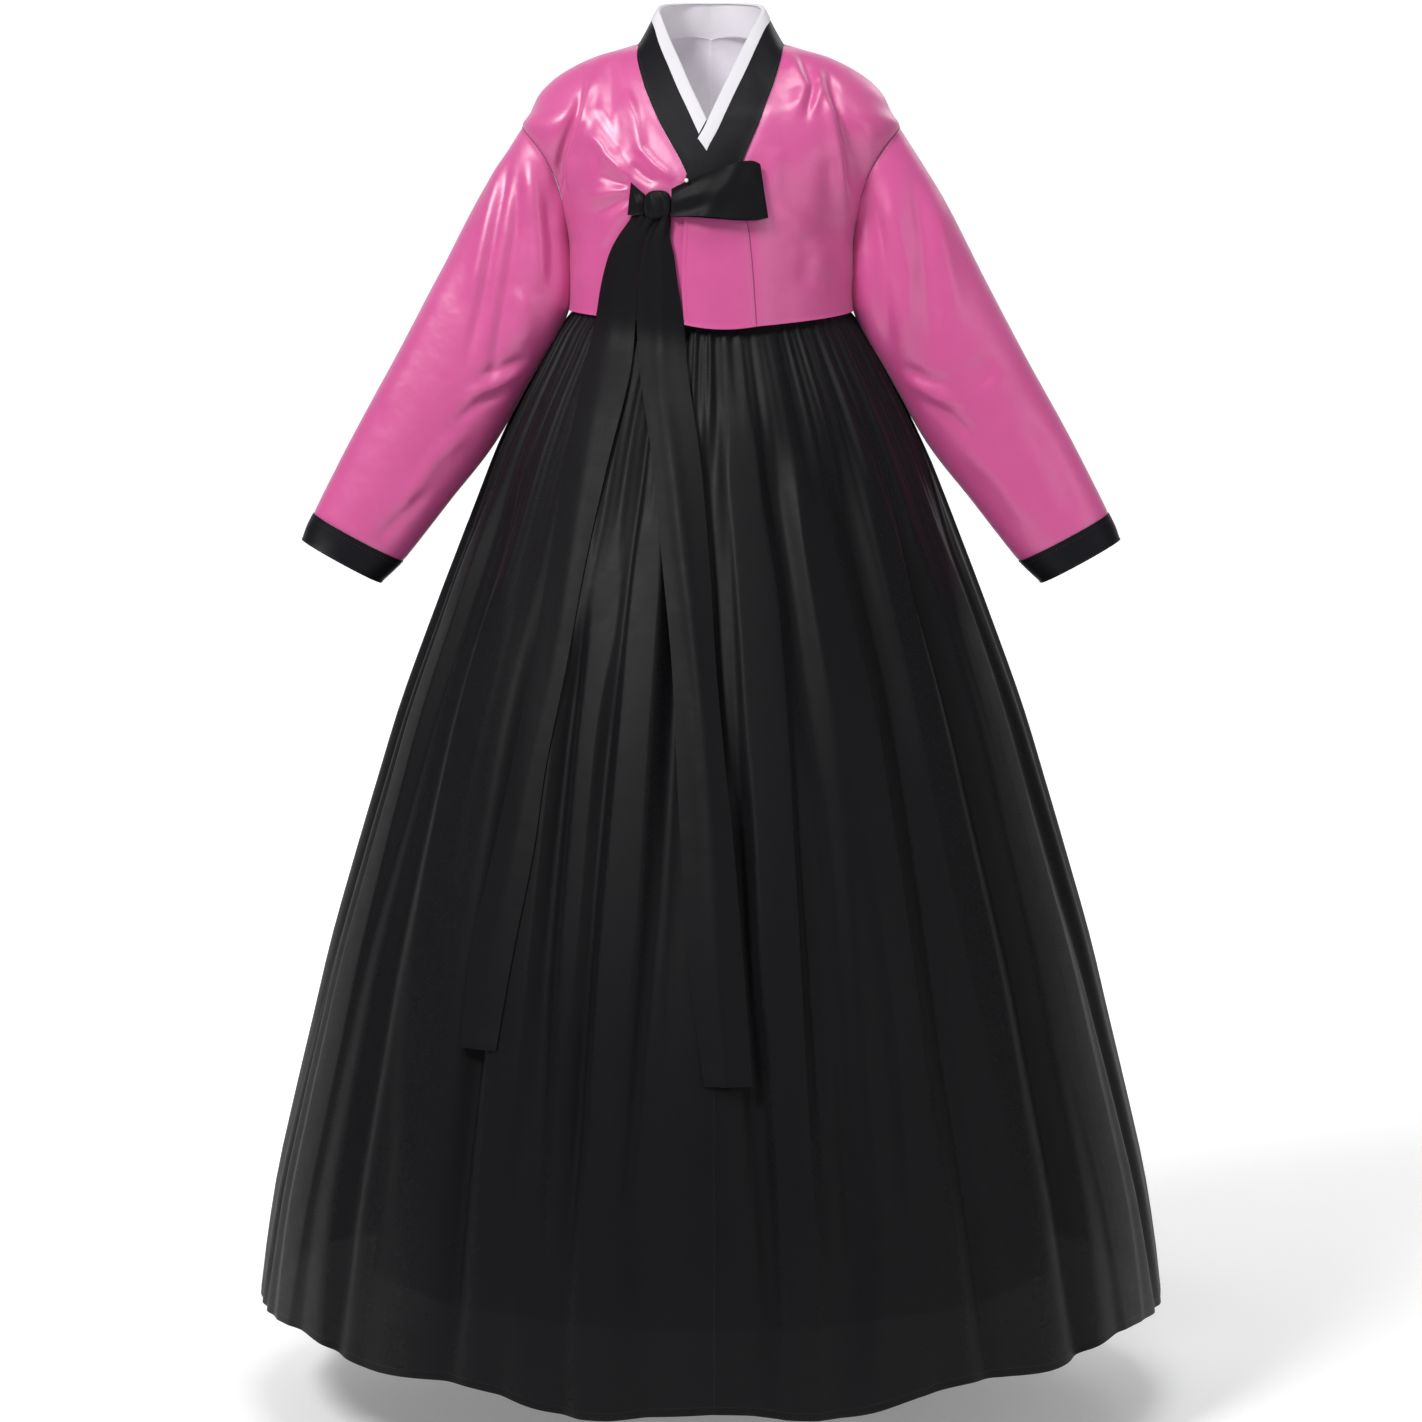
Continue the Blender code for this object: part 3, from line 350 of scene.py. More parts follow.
def collar_point(place: Array, across: Array, out: Array) -> Array:
    """Points on the collar, moved out from its base.

    Args:
        place: places along the collar.
        across: shares across it.
        out: distances from its base.

    Returns:
        The points.
    """
    step = 0.05
    along = collar_base(place + step, across) - collar_base(place - step, across)
    low, high = np.clip(across - step, 0, 1), np.clip(across + step, 0, 1)
    way = unit(np.cross(collar_base(place, high) - collar_base(place, low), along))
    return collar_base(place, across) + way * np.asarray(out)[..., None]


def sleeve_base(place: Array, turn: Array) -> Array:
    """Points of the left sleeve.

    Args:
        place: places down the arm.
        turn: angles round it, 0 at its upper edge and a quarter turn at its front.

    Returns:
        The points.
    """
    def section(at: Array) -> Array:
        """Rounded section across the sleeve.

        Args:
            at: places down the arm.

        Returns:
            The section's points.
        """
        ox, oz, ix, iz, middle, deep = np.moveaxis(SLEEVE.at(at), -1, 0)
        wide, thick = fuller(np.cos(turn), SLEEVE_POWER), fuller(np.sin(turn), SLEEVE_POWER)
        return points((ox + ix) / 2 + (ox - ix) / 2 * wide, middle - deep * thick,
                      (oz + iz) / 2 + (oz - iz) / 2 * wide)
    place, turn = np.broadcast_arrays(np.asarray(place, float), np.asarray(turn, float))
    fade = np.maximum(0.0, 1.0 - place / SLEEVE_BLEND) ** 3
    return section(place) + (torso(*armhole(turn)) - section(np.zeros_like(place))) * fade[..., None]


def sleeve_out(place: Array, turn: Array) -> Array:
    """Outward directions of the left sleeve.

    Args:
        place: places down the arm.
        turn: angles round it.

    Returns:
        The directions, of length 1.
    """
    step = 0.03
    along = sleeve_base(place + step, turn) - sleeve_base(np.maximum(0.0, place - step), turn)
    around = sleeve_base(place, turn + step) - sleeve_base(place, turn - step)
    return unit(np.cross(around, along))


def oval(height: Array, size: Array, angle: Array, inset: Array) -> Array:
    """Points on level ovals.

    Args:
        height: their heights.
        size: half width, depth in front and depth behind, as last axis.
        angle: angles round them.
        inset: how far inside the oval each point lies.

    Returns:
        The points.
    """
    half, deep = size[..., 0], np.where(np.cos(angle) > 0, size[..., 1], size[..., 2])
    way = unit(points(np.sin(angle) / half, -np.cos(angle) / deep, np.zeros_like(half * angle)))
    return points(half * np.sin(angle), -deep * np.cos(angle), height) - way * np.asarray(inset)[..., None]


@dataclass(frozen=True)
class Fold:
    """A fold along a given path; it fades out at both ends."""
    path: tuple[Place, ...]
    width: float
    height: float                     # out of the cloth, less than 0 for a valley
    side: Side = Side.FRONT
    lean: float = 1.0                 # how much wider the fold is on the path's right

    def lift(self, u: Array, v: Array) -> Array:
        """How far the cloth rises.

        Args:
            u: first coordinate of the places, in the path's own measure.
            v: second coordinate.

        Returns:
            The rise at each place.
        """
        spots = np.stack([u, v], axis=-1)
        path = np.array(self.path)
        lengths = np.linalg.norm(np.diff(path, axis=0), axis=1)
        done, best, rise = 0.0, np.full(u.shape, np.inf), np.zeros(u.shape)
        for start, end, length in zip(path[:-1], path[1:], lengths):
            way = (end - start) / length
            run = np.clip(np.einsum("...i,i->...", spots - start, way), 0.0, length)
            off = spots - start - run[..., None] * way
            gap = np.linalg.norm(off, axis=-1)
            right = off[..., 0] * way[1] - off[..., 1] * way[0] > 0
            along = (done + run) / lengths.sum()
            here = hump(gap, np.where(right, self.width * self.lean, self.width))
            here *= ease(along / FOLD_FADE + FOLD_START) * ease((1.0 - along) / FOLD_FADE + FOLD_START)
            rise = np.where(gap < best, here, rise)
            best = np.minimum(gap, best)
            done += length
        return self.height * rise


def folded(spots: Array, folds: Sequence[Fold]) -> Array:
    """Sum of the folds that reach some places on the jacket.

    Args:
        spots: points on the cloth.
        folds: the folds, with paths in x and z.

    Returns:
        The rise at each place.
    """
    total = np.zeros(spots.shape[:-1])
    for one in folds:
        facing = ease(spots[..., 1] * one.side.value / FACING_DEPTH + 0.5)
        total += one.lift(spots[..., 0], spots[..., 2]) * facing
    return total


def creases(side: Side, *rows: tuple[float, ...], unit_of_path: Place = (0.001, 0.001)) -> tuple[Fold, ...]:
    """Folds from rows of numbers.

    Args:
        side: the half that they lie on.
        rows: for each fold its width and height in millimetres and its lean, then its path's places.
        unit_of_path: what the two coordinates of a place are counted in.

    Returns:
        The folds.
    """
    made = []
    for width, height, lean, *path in rows:
        places = tuple((u * unit_of_path[0], v * unit_of_path[1]) for u, v in zip(path[::2], path[1::2]))
        made.append(Fold(places, width * MILLIMETRE, height * MILLIMETRE, side, lean))
    return tuple(made)


BODY_FOLDS = creases(
    Side.FRONT,
    (6.4, 5.6, 1, -123.5, -16.5, -135.2, -73.2, -148.2, -105.3, -153, -150),
    (5.6, -6, 1, -133, -30, -147, -80, -160, -118, -162.5, -160),
    (6.2, 3.6, 1.5, -131.3, -80, -105.8, -109.8, -83.6, -134.2),
    (7, -2.4, 1, -123, -60, -110, -86, -93, -110),
    (5.5, 3.4, 1.4, -90.6, -37.5, -78.6, -73.3, -72.1, -112.1),
    (4.8, 2.6, 1, -78, -100, -59, -120, -38, -137),
    (8, -2.8, 1, -107.1, -3, -104, -62.2, -93.2, -104.7), (5, -2.2, 1, -85, -118, -72, -130, -56, -140),
    (5, 2, 1, -82.6, -138.3, -116.4, -104.3), (5.5, -2.4, 1, -85, -142, -122, -128),
    (6, 2.4, 1, -84.7, -146.6, -127.3, -152), (6, -2.4, 1, -85, -153, -125, -172),
    (6.5, 2.6, 1, -82.6, -157, -101, -178, -119, -210), (10, 2.2, 1, -138, -170, -133, -210, -135, -255),
    (7, 4.2, 1.5, 81.6, 3, 99.1, -37.3, 87, -72), (5, -2.6, 1, 93, -1, 108, -33, 100, -75),
    (5.5, 3, 1, 113.2, -15, 114, -40, 106.1, -70),
    (5.6, -5.6, 1, 123.1, -12.2, 135, -64.7, 145, -105.6, 150, -160),
    (6.6, 5, 1, 116, -30, 128, -70, 137, -115, 142, -170),
    (13, -3, 1, 124.9, -104.1, 127.3, -156.1, 123.4, -208.3), (8, 2.6, 1, 144, -150, 142, -200, 145, -255),
    (13, 2.6, 1, 56, -160, 86, -178, 115, -215, 118, -245), (11, -2.2, 1, 96, -185, 102, -215, 99, -250),
    (11, 1.6, 1, 70, -100, 66, -130, 62, -160)) + creases(
    Side.BACK,
    (7, 3.4, 1, -130, -30, -140, -80, -148, -140), (6, -3.4, 1, -145, -55, -156, -105, -158, -160),
    (6.5, 3.6, 1, 128, -25, 139, -85, 145, -150), (5.5, -3.6, 1, 143, -45, 155, -100, 157, -155),
    (11, 2.6, 1, -60, 5, -76, -50, -70, -115), (10, 2.8, 1, 52, 0, 70, -42, 76, -98),
    (9, 2.6, 1, -125, -135, -82, -175, -30, -205), (8, -2.6, 1, -125, -155, -85, -198, -40, -225),
    (8.5, 2.4, 1, 130, -130, 90, -168, 35, -190), (9.5, -2.4, 1, 130, -160, 95, -205, 60, -240),
    (10, -2.2, 1, 15, -110, 22, -180, 18, -250), (12, 2, 1, -25, -50, -20, -130, -28, -230))
SLEEVE_FOLDS = creases(
    Side.FRONT,
    (5.5, -4.2, 1, -213.3, -100, -229, -180, -242.8, -261.4, -262, -336.6),
    (8, 2.8, 1, -222, -105, -240, -185, -256, -265),
    (9, 4.2, 1.3, -194.2, -105.7, -185, -180, -184.2, -253.4),
    (5, -3.6, 1, -202.8, -113.1, -208, -190, -219.4, -260.4, -238, -361.2),
    (6, -3.4, 1, -174, -150, -170, -200, -176, -260),
    (10, 3.8, 1, -198.5, -246.2, -199.2, -276.2, -208, -312),
    (5, -3.2, 1, -198, -318, -220, -330, -248, -342), (6, 3, 1, -206, -336, -235, -352, -265, -364),
    (5, -3, 1, -218, -356, -245, -368, -272, -390), (9, 2.4, 1, -250, -390, -295, -430, -335, -490),
    (7, -2.2, 1, -300, -460, -335, -495, -360, -520), (13, 2.4, 1, -272, -220, -315, -310, -360, -395),
    (8, 4.8, 1.4, 185, -130, 194.4, -170, 208.6, -232.8, 211, -325),
    (6, -4, 1, 172, -150, 180, -200, 188, -265, 198, -325),
    (8, -3.6, 1, 215, -125, 225, -190, 231, -250, 240, -335), (10, 2.8, 1, 236, -145, 250, -215, 265, -290),
    (5, -3.2, 1, 205, -328, 230, -343, 256, -350), (5.5, 3, 1, 212, -345, 242, -364, 270, -372),
    (5.5, -2.8, 1, 225, -365, 256, -385, 282, -408), (15, -2.4, 1, 282, -320, 298, -350),
    (10, 2.4, 1, 260, -410, 305, -450, 345, -508),
    (11, -1.8, 1, 330, -380, 365, -435, 390, -495)) + creases(
    Side.BACK,
    (7, -4.2, 1, -205, -115, -218, -190, -230, -270), (8, 4, 1, -185, -150, -195, -220, -215, -295),
    (11, 3, 1, -240, -180, -265, -260, -305, -340), (7, -3.6, 1, -205, -330, -245, -345, -295, -350),
    (8, 3.4, 1, -225, -365, -265, -380, -315, -385), (10, -2.2, 1, -270, -420, -320, -460, -360, -515),
    (6.5, -4.2, 1, 200, -110, 210, -180, 225, -280), (8, 3.8, 1, 180, -160, 192, -240, 208, -305),
    (11, 3.2, 1, 235, -160, 262, -245, 295, -315), (7, -3.4, 1, 210, -335, 252, -352, 300, -360),
    (8, 3, 1, 235, -375, 275, -390, 320, -398), (10, -2.2, 1, 290, -430, 330, -470, 370, -520))
# Folds of the skirt: paths in degrees round it and centimetres of height; a fold's height goes outwards
SKIRT_FOLDS = creases(
    Side.FRONT,
    (10, -12, 1, 0.5, -33, -0.2, -45, 0.8, -75, 1.5, -95),
    (17, 12, 1.3, 6, -34, 7.4, -50, 7.6, -75, 6.4, -100),
    (11, -13, 1, 4.4, -70, 5.3, -85, 6.9, -110, 7.5, -130),
    (16, 12, 1, 12.5, -45, 11.9, -65, 10.2, -110, 10.5, -134),
    (14, -14, 1, 16, -36, 17.5, -60, 19, -80, 18, -125),
    (20, 12, 0.8, 24, -40, 26.8, -70, 27, -100, 25, -134),
    (16, -12, 1, 33, -38, 35, -65, 33.5, -100, 35, -134), (18, 11, 1, 43, -40, 41, -70, 42.5, -105),
    (18, -12, 1, 52, -45, 50, -80, 51, -134), (22, 11, 1, 63, -50, 61, -85, 64, -130),
    (16, -10, 1, 76, -42, 74, -90, 77, -134), (13, -12, 1, -9, -40, -8, -62, -8.5, -88, -10.5, -120),
    (17, 12, 1.2, -13.5, -42, -13, -70, -13.5, -105, -14.5, -134),
    (10, -10, 1, -19, -60, -18.5, -85, -17.5, -115), (15, 11, 1, -22.3, -48, -21.5, -70, -19.5, -100),
    (14, -13, 1, -27, -55, -24.7, -85, -21.5, -125), (18, 11, 1, -31, -42, -30, -75, -28, -110),
    (13, -12, 1, -36, -55, -34.8, -95, -32.3, -130), (20, 12, 1, -49, -52, -47, -80, -43, -112),
    (16, -12, 1, -57, -42, -55, -80, -52, -134), (20, 10, 1, -70, -45, -67, -90, -66, -130),
    (18, -11, 1, -82, -40, -80, -85, -78, -134), (22, 11, 1, 93, -40, 95, -85, 92, -130),
    (18, -13, 1, 108, -38, 106, -80, 109, -134), (20, 10, 1, 123, -50, 125, -90, 122, -125),
    (17, -12, 1, 139, -40, 137, -85, 140, -134), (19, 12, 1, 152, -36, 154, -75, 151, -115),
    (16, -13, 1, 166, -45, 164, -90, 167, -134), (20, 11, 1, 178, -40, 179, -80, 177, -120),
    (20, 11, 1, -96, -40, -98, -80, -95, -120), (18, -13, 1, -112, -42, -110, -90, -113, -134),
    (21, 12, 1, -127, -38, -129, -75, -126, -115), (17, -12, 1, -142, -45, -140, -95, -143, -134),
    (19, 11, 1, -156, -36, -158, -80, -155, -120), (16, -13, 1, -170, -42, -168, -90, -171, -134),
    unit_of_path=(1.0, 0.01))


# Scales of the cloth's patterns, and how strongly each one shows in tone, roughness and height
WARP_SCALE, WEFT_SCALE = (420.0, 22.0, 1.0), (30.0, 520.0, 1.0)
CLOUD_SCALE, PUCKER_SCALE, GRAIN_SCALE = 9.0, 46.0, 160.0
CLOUD_TONE, HEM_TONE, GRAIN_OPACITY = 0.55, 0.16, 0.06
SLUB_ROUGH, PUCKER_ROUGH = 0.35, 0.10
WEAVE_RISE, SLUB_RISE = 0.000002, 0.00003


def group_socket(tree: Tree, name: str, kind: str, out: bool = False) -> None:
    """Adds a named input or output to a node group.

    Args:
        tree: the group.
        name: the socket's name.
        kind: its type, such as Float.
        out: whether it is an output.

    Returns:
        Nothing.
    """
    tree.interface.new_socket(name, in_out="OUTPUT" if out else "INPUT", socket_type="NodeSocket" + kind)


def joined(tree: Tree, kind: str, settings: dict[str, object], **inputs: object) -> bpy.types.Node:
    """Adds a node, sets it up and joins its inputs.

    Args:
        tree: the node tree.
        kind: the node's type.
        settings: properties of the node.
        inputs: sockets or values by the input's name, its spaces written as underscores; i0 is the first.

    Returns:
        The node.
    """
    node = tree.nodes.new(kind)
    for key, value in settings.items():
        setattr(node, key, value)
    for key, value in inputs.items():
        socket = node.inputs[int(key[1:])] if key[1:].isdigit() else node.inputs[key.replace("_", " ")]
        if isinstance(value, Socket):
            tree.links.new(value, socket)
        else:
            socket.default_value = value
    return node


def maths(tree: Tree, operation: str, *values: object, clamp: bool = False) -> Socket:
    """Output of a math node.

    Args:
        tree: the node tree.
        operation: the sum to do.
        values: its sockets or numbers.
        clamp: whether the result stays between 0 and 1.

    Returns:
        The result's socket.
    """
    given = {f"i{i}": value for i, value in enumerate(values)}
    return joined(tree, "ShaderNodeMath", {"operation": operation, "use_clamp": clamp}, **given).outputs[0]


def cloth_group() -> Tree:
    """Node group of woven cloth, made once: threads, uneven yarn, small puckers and a turned hem.

    Returns:
        The group; it gives a colour, a roughness and a height.
    """
    name = "woven cloth"
    if name in bpy.data.node_groups:
        return bpy.data.node_groups[name]
    tree = bpy.data.node_groups.new(name, "ShaderNodeTree")
    for socket, kind in (("Colour", "Color"), ("Deep Colour", "Color"), ("Roughness", "Float"),
                         ("Threads", "Float"), ("Yarn", "Float"), ("Puckers", "Float"), ("Hem", "Float")):
        group_socket(tree, socket, kind)
    for socket, kind in (("Colour", "Color"), ("Roughness", "Float"), ("Height", "Float")):
        group_socket(tree, socket, kind, out=True)
    given = tree.nodes.new("NodeGroupInput").outputs
    uv = joined(tree, "ShaderNodeUVMap", {"uv_map": "cut"}).outputs["UV"]
    place = tree.nodes.new("ShaderNodeTexCoord").outputs["Object"]

    streaks = joined(tree, "ShaderNodeMapping", {}, Vector=uv, Scale=WARP_SCALE).outputs[0]
    yarn = joined(tree, "ShaderNodeTexNoise", {}, Vector=streaks, Scale=1.0, Detail=3.0).outputs["Fac"]
    across = joined(tree, "ShaderNodeMapping", {}, Vector=uv, Scale=WEFT_SCALE).outputs[0]
    weft = joined(tree, "ShaderNodeTexNoise", {}, Vector=across, Scale=1.0, Detail=2.0).outputs["Fac"]
    cloud = joined(tree, "ShaderNodeTexNoise", {}, Vector=place, Scale=CLOUD_SCALE, Detail=3.0).outputs[0]
    small = joined(tree, "ShaderNodeTexNoise", {}, Vector=place, Scale=PUCKER_SCALE, Detail=2.5,
                   Roughness=0.45).outputs[0]
    split = joined(tree, "ShaderNodeSeparateXYZ", {}, Vector=uv).outputs
    warp_line = maths(tree, "SINE", maths(tree, "MULTIPLY", split[0], given["Threads"]))
    weft_line = maths(tree, "SINE", maths(tree, "MULTIPLY", split[1], given["Threads"]))
    weave = maths(tree, "MULTIPLY", warp_line, weft_line)

    threads = maths(tree, "SUBTRACT", maths(tree, "ADD", yarn, weft), 1.0)
    slub = maths(tree, "MULTIPLY", threads, given["Yarn"])
    toned = maths(tree, "ADD", maths(tree, "MULTIPLY", cloud, CLOUD_TONE), slub, clamp=True)
    turned = maths(tree, "LESS_THAN", split[1], given["Hem"])
    tone = maths(tree, "ADD", toned, maths(tree, "MULTIPLY", turned, HEM_TONE), clamp=True)
    colour = joined(tree, "ShaderNodeMix", {"data_type": "RGBA"}, Factor=tone)
    tree.links.new(given["Colour"], colour.inputs[6])
    tree.links.new(given["Deep Colour"], colour.inputs[7])
    rough = maths(tree, "ADD", given["Roughness"], maths(tree, "MULTIPLY", slub, SLUB_ROUGH))
    uneven = maths(tree, "MULTIPLY", maths(tree, "SUBTRACT", small, 0.5), PUCKER_ROUGH)
    rough = maths(tree, "ADD", rough, uneven)
    height = maths(tree, "ADD", maths(tree, "MULTIPLY", small, given["Puckers"]),
                   maths(tree, "MULTIPLY", weave, WEAVE_RISE))
    height = maths(tree, "ADD", height, maths(tree, "MULTIPLY", slub, SLUB_RISE))
    result = tree.nodes.new("NodeGroupOutput")
    tree.links.new(colour.outputs[2], result.inputs["Colour"])
    tree.links.new(rough, result.inputs["Roughness"])
    tree.links.new(height, result.inputs["Height"])
    return tree


def sheer_group() -> Tree:
    """Node group for thin cloth, made once: how much it hides, more where it is turned or lined.

    Returns:
        The group; it gives an opacity.
    """
    name = "sheer cloth"
    if name in bpy.data.node_groups:
        return bpy.data.node_groups[name]
    tree = bpy.data.node_groups.new(name, "ShaderNodeTree")
    for socket in ("Opacity", "Hem Opacity", "Hem"):
        group_socket(tree, socket, "Float")
    group_socket(tree, "Opacity", "Float", out=True)
    given = tree.nodes.new("NodeGroupInput").outputs
    uv = joined(tree, "ShaderNodeUVMap", {"uv_map": "cut"}).outputs["UV"]
    height = joined(tree, "ShaderNodeSeparateXYZ", {}, Vector=uv).outputs[1]
    turned = maths(tree, "LESS_THAN", height, given["Hem"])
    grain = joined(tree, "ShaderNodeTexNoise", {}, Vector=uv, Scale=GRAIN_SCALE, Detail=2.0).outputs["Fac"]
    uneven = maths(tree, "MULTIPLY", maths(tree, "SUBTRACT", grain, 0.5), GRAIN_OPACITY)
    thin = maths(tree, "ADD", given["Opacity"], uneven)
    more = maths(tree, "MULTIPLY", maths(tree, "SUBTRACT", given["Hem Opacity"], thin), turned)
    total = maths(tree, "ADD", thin, more, clamp=True)
    result = tree.nodes.new("NodeGroupOutput")
    tree.links.new(total, result.inputs["Opacity"])
    return tree


@dataclass(frozen=True)
class Finish:
    """A cloth's look."""
    name: str
    colour: Spot
    deep: Spot
    roughness: float
    sheen: float = 0.2
    sheen_tint: Spot = (1.0, 1.0, 1.0)
    sheen_roughness: float = 0.4
    anisotropy: float = 0.0
    specular: float = 0.5
    threads: float = 5200.0
    yarn: float = 0.4
    puckers: float = 0.0012
    hem: float = 0.0
    opacity: Optional[float] = None
    hem_opacity: float = 1.0
    glow: float = 0.0                 # painted light: emission in the cloth's own colour, making a pale lining look brighter than its lighting leaves it

    def material(self) -> bpy.types.Material:
        """The finish as a material, made once.

        Returns:
            The material.
        """
        if self.name in bpy.data.materials:
            return bpy.data.materials[self.name]
        made = bpy.data.materials.new(self.name)
        made.use_nodes = True
        tree = made.node_tree
        shader = tree.nodes["Principled BSDF"]
        for socket, value in (("Sheen Weight", self.sheen), ("Sheen Tint", (*self.sheen_tint, 1.0)),
                              ("Sheen Roughness", self.sheen_roughness), ("Anisotropic", self.anisotropy),
                              ("Specular IOR Level", self.specular)):
            shader.inputs[socket].default_value = value
        cloth = joined(tree, "ShaderNodeGroup", {"node_tree": cloth_group()}, Colour=(*self.colour, 1.0),
                       Deep_Colour=(*self.deep, 1.0), Roughness=self.roughness, Threads=self.threads,
                       Yarn=self.yarn, Puckers=self.puckers, Hem=self.hem)
        tree.links.new(cloth.outputs["Colour"], shader.inputs["Base Color"])
        tree.links.new(cloth.outputs["Roughness"], shader.inputs["Roughness"])
        bump = joined(tree, "ShaderNodeBump", {}, Strength=1.0, Distance=1.0,
                      Height=cloth.outputs["Height"])
        tree.links.new(bump.outputs[0], shader.inputs["Normal"])
        # painted light: a glowing finish emits its own colour, so it looks lit where little light reaches
        # it
        if self.glow:
            tree.links.new(cloth.outputs["Colour"], shader.inputs["Emission Color"])
            shader.inputs["Emission Strength"].default_value = self.glow
        if self.anisotropy:
            tangent = joined(tree, "ShaderNodeTangent", {"direction_type": "UV_MAP", "uv_map": "cut"})
            tree.links.new(tangent.outputs[0], shader.inputs["Tangent"])
        if self.opacity is not None:
            sheer = joined(tree, "ShaderNodeGroup", {"node_tree": sheer_group()}, Opacity=self.opacity,
                           Hem_Opacity=self.hem_opacity, Hem=self.hem)
            tree.links.new(sheer.outputs["Opacity"], shader.inputs["Alpha"])
        return made


SATIN = Finish("pink satin", (0.57, 0.085, 0.275), (0.40, 0.042, 0.165), 0.37, sheen=0.32,
               sheen_tint=(1.0, 0.6, 0.85), anisotropy=0.6, specular=0.8, yarn=0.08, puckers=0.0007,
               hem=0.0012)
# painted light: the pale lining glows, so the inside of the neck looks brightly lit
JACKET_LINING = Finish("pale lilac lining", (0.90, 0.86, 0.92), (0.83, 0.78, 0.87), 0.60, puckers=0.0008,
                       glow=0.12)
BLACK_BAND = Finish("black band satin", (0.0058, 0.0050, 0.0074), (0.0036, 0.0032, 0.0047), 0.48,
                    sheen=0.015, specular=0.12, yarn=0.2, puckers=0.0006, hem=0.0012)
# painted light: the band's lining glows as well
BAND_BACK = Finish("band lining", (0.90, 0.87, 0.92), (0.83, 0.79, 0.86), 0.65, puckers=0.0005, glow=0.10)
WHITE_STRIP = Finish("stiffened white cloth", (0.60, 0.585, 0.615), (0.53, 0.51, 0.55), 0.60, sheen=0.05,
                     puckers=0.0004)
BLACK_RIBBON = Finish("black ribbon", (0.0044, 0.0044, 0.0054), (0.0028, 0.0028, 0.0035), 0.52, sheen=0.015,
                      anisotropy=0.3, specular=0.12, yarn=0.2, puckers=0.0004, hem=0.0100)
BLACK_CHIFFON = Finish("black chiffon", (0.0044, 0.0044, 0.0054), (0.0028, 0.0028, 0.0035), 0.50,
                       sheen=0.02, anisotropy=0.4, specular=0.14, yarn=0.25, puckers=0.0002, hem=0.0080,
                       opacity=0.94, hem_opacity=0.99)
BLACK_LINING = Finish("black lining", (0.0050, 0.0048, 0.0058), (0.0032, 0.0030, 0.0038), 0.60, sheen=0.02,
                      specular=0.15, puckers=0.0010, hem=0.0150)
WHITE_COTTON = Finish("white cotton", (0.78, 0.76, 0.74), (0.68, 0.66, 0.64), 0.80, puckers=0.0006)
# painted shade: a cord colour darker than the satin, laid in the seams so that they read as dark shade
# lines
SEAM_SHADE = Finish("deep pink thread", (0.20, 0.022, 0.085), (0.14, 0.015, 0.060), 0.80)
PINK_THREAD = Finish("pink thread", (0.40, 0.045, 0.17), (0.30, 0.03, 0.12), 0.5, puckers=0.0)
BLACK_THREAD = Finish("black thread", (0.020, 0.019, 0.024), (0.014, 0.013, 0.017), 0.45, puckers=0.0)
PEARL = Finish("pearl", (0.85, 0.83, 0.81), (0.75, 0.73, 0.76), 0.18, sheen=0.1, puckers=0.0)


def drawn_in(grid: Array, rows: bool, columns: bool) -> Array:
    """The grid with its outermost rows or columns pulled in by half a seam's gap.

    Args:
        grid: rows of points.
        rows: whether the first and last row are pulled in.
        columns: whether the first and last column are.

    Returns:
        The new grid.
    """
    grid = grid.copy()
    for wanted, view in ((rows, grid), (columns, grid.swapaxes(0, 1))):
        if wanted:
            for edge, inner in ((0, 1), (-1, -2)):
                view[edge] += unit(view[inner] - view[edge]) * SEAM_GAP / 2
    return grid


def measured(grid: Array) -> Array:
    """Where each point of a grid lies on the flat cut: across, and up from the last row.

    Args:
        grid: rows of points.

    Returns:
        Two distances for each point.
    """
    across = np.zeros(grid.shape[:2])
    up = np.zeros(grid.shape[:2])
    across[:, 1:] = np.cumsum(np.linalg.norm(np.diff(grid, axis=1), axis=-1), axis=1)
    up[1:] = np.cumsum(np.linalg.norm(np.diff(grid, axis=0), axis=-1), axis=0)
    middle = across[:, across.shape[1] // 2][:, None]
    return np.stack([across - middle, up[-1:] - up], axis=-1)


def quads(index: Array) -> Array:
    """Faces between the neighbours in a grid of numbers."""
    return np.stack([index[:-1, :-1], index[:-1, 1:], index[1:, 1:], index[1:, :-1]], -1).reshape(-1, 4)


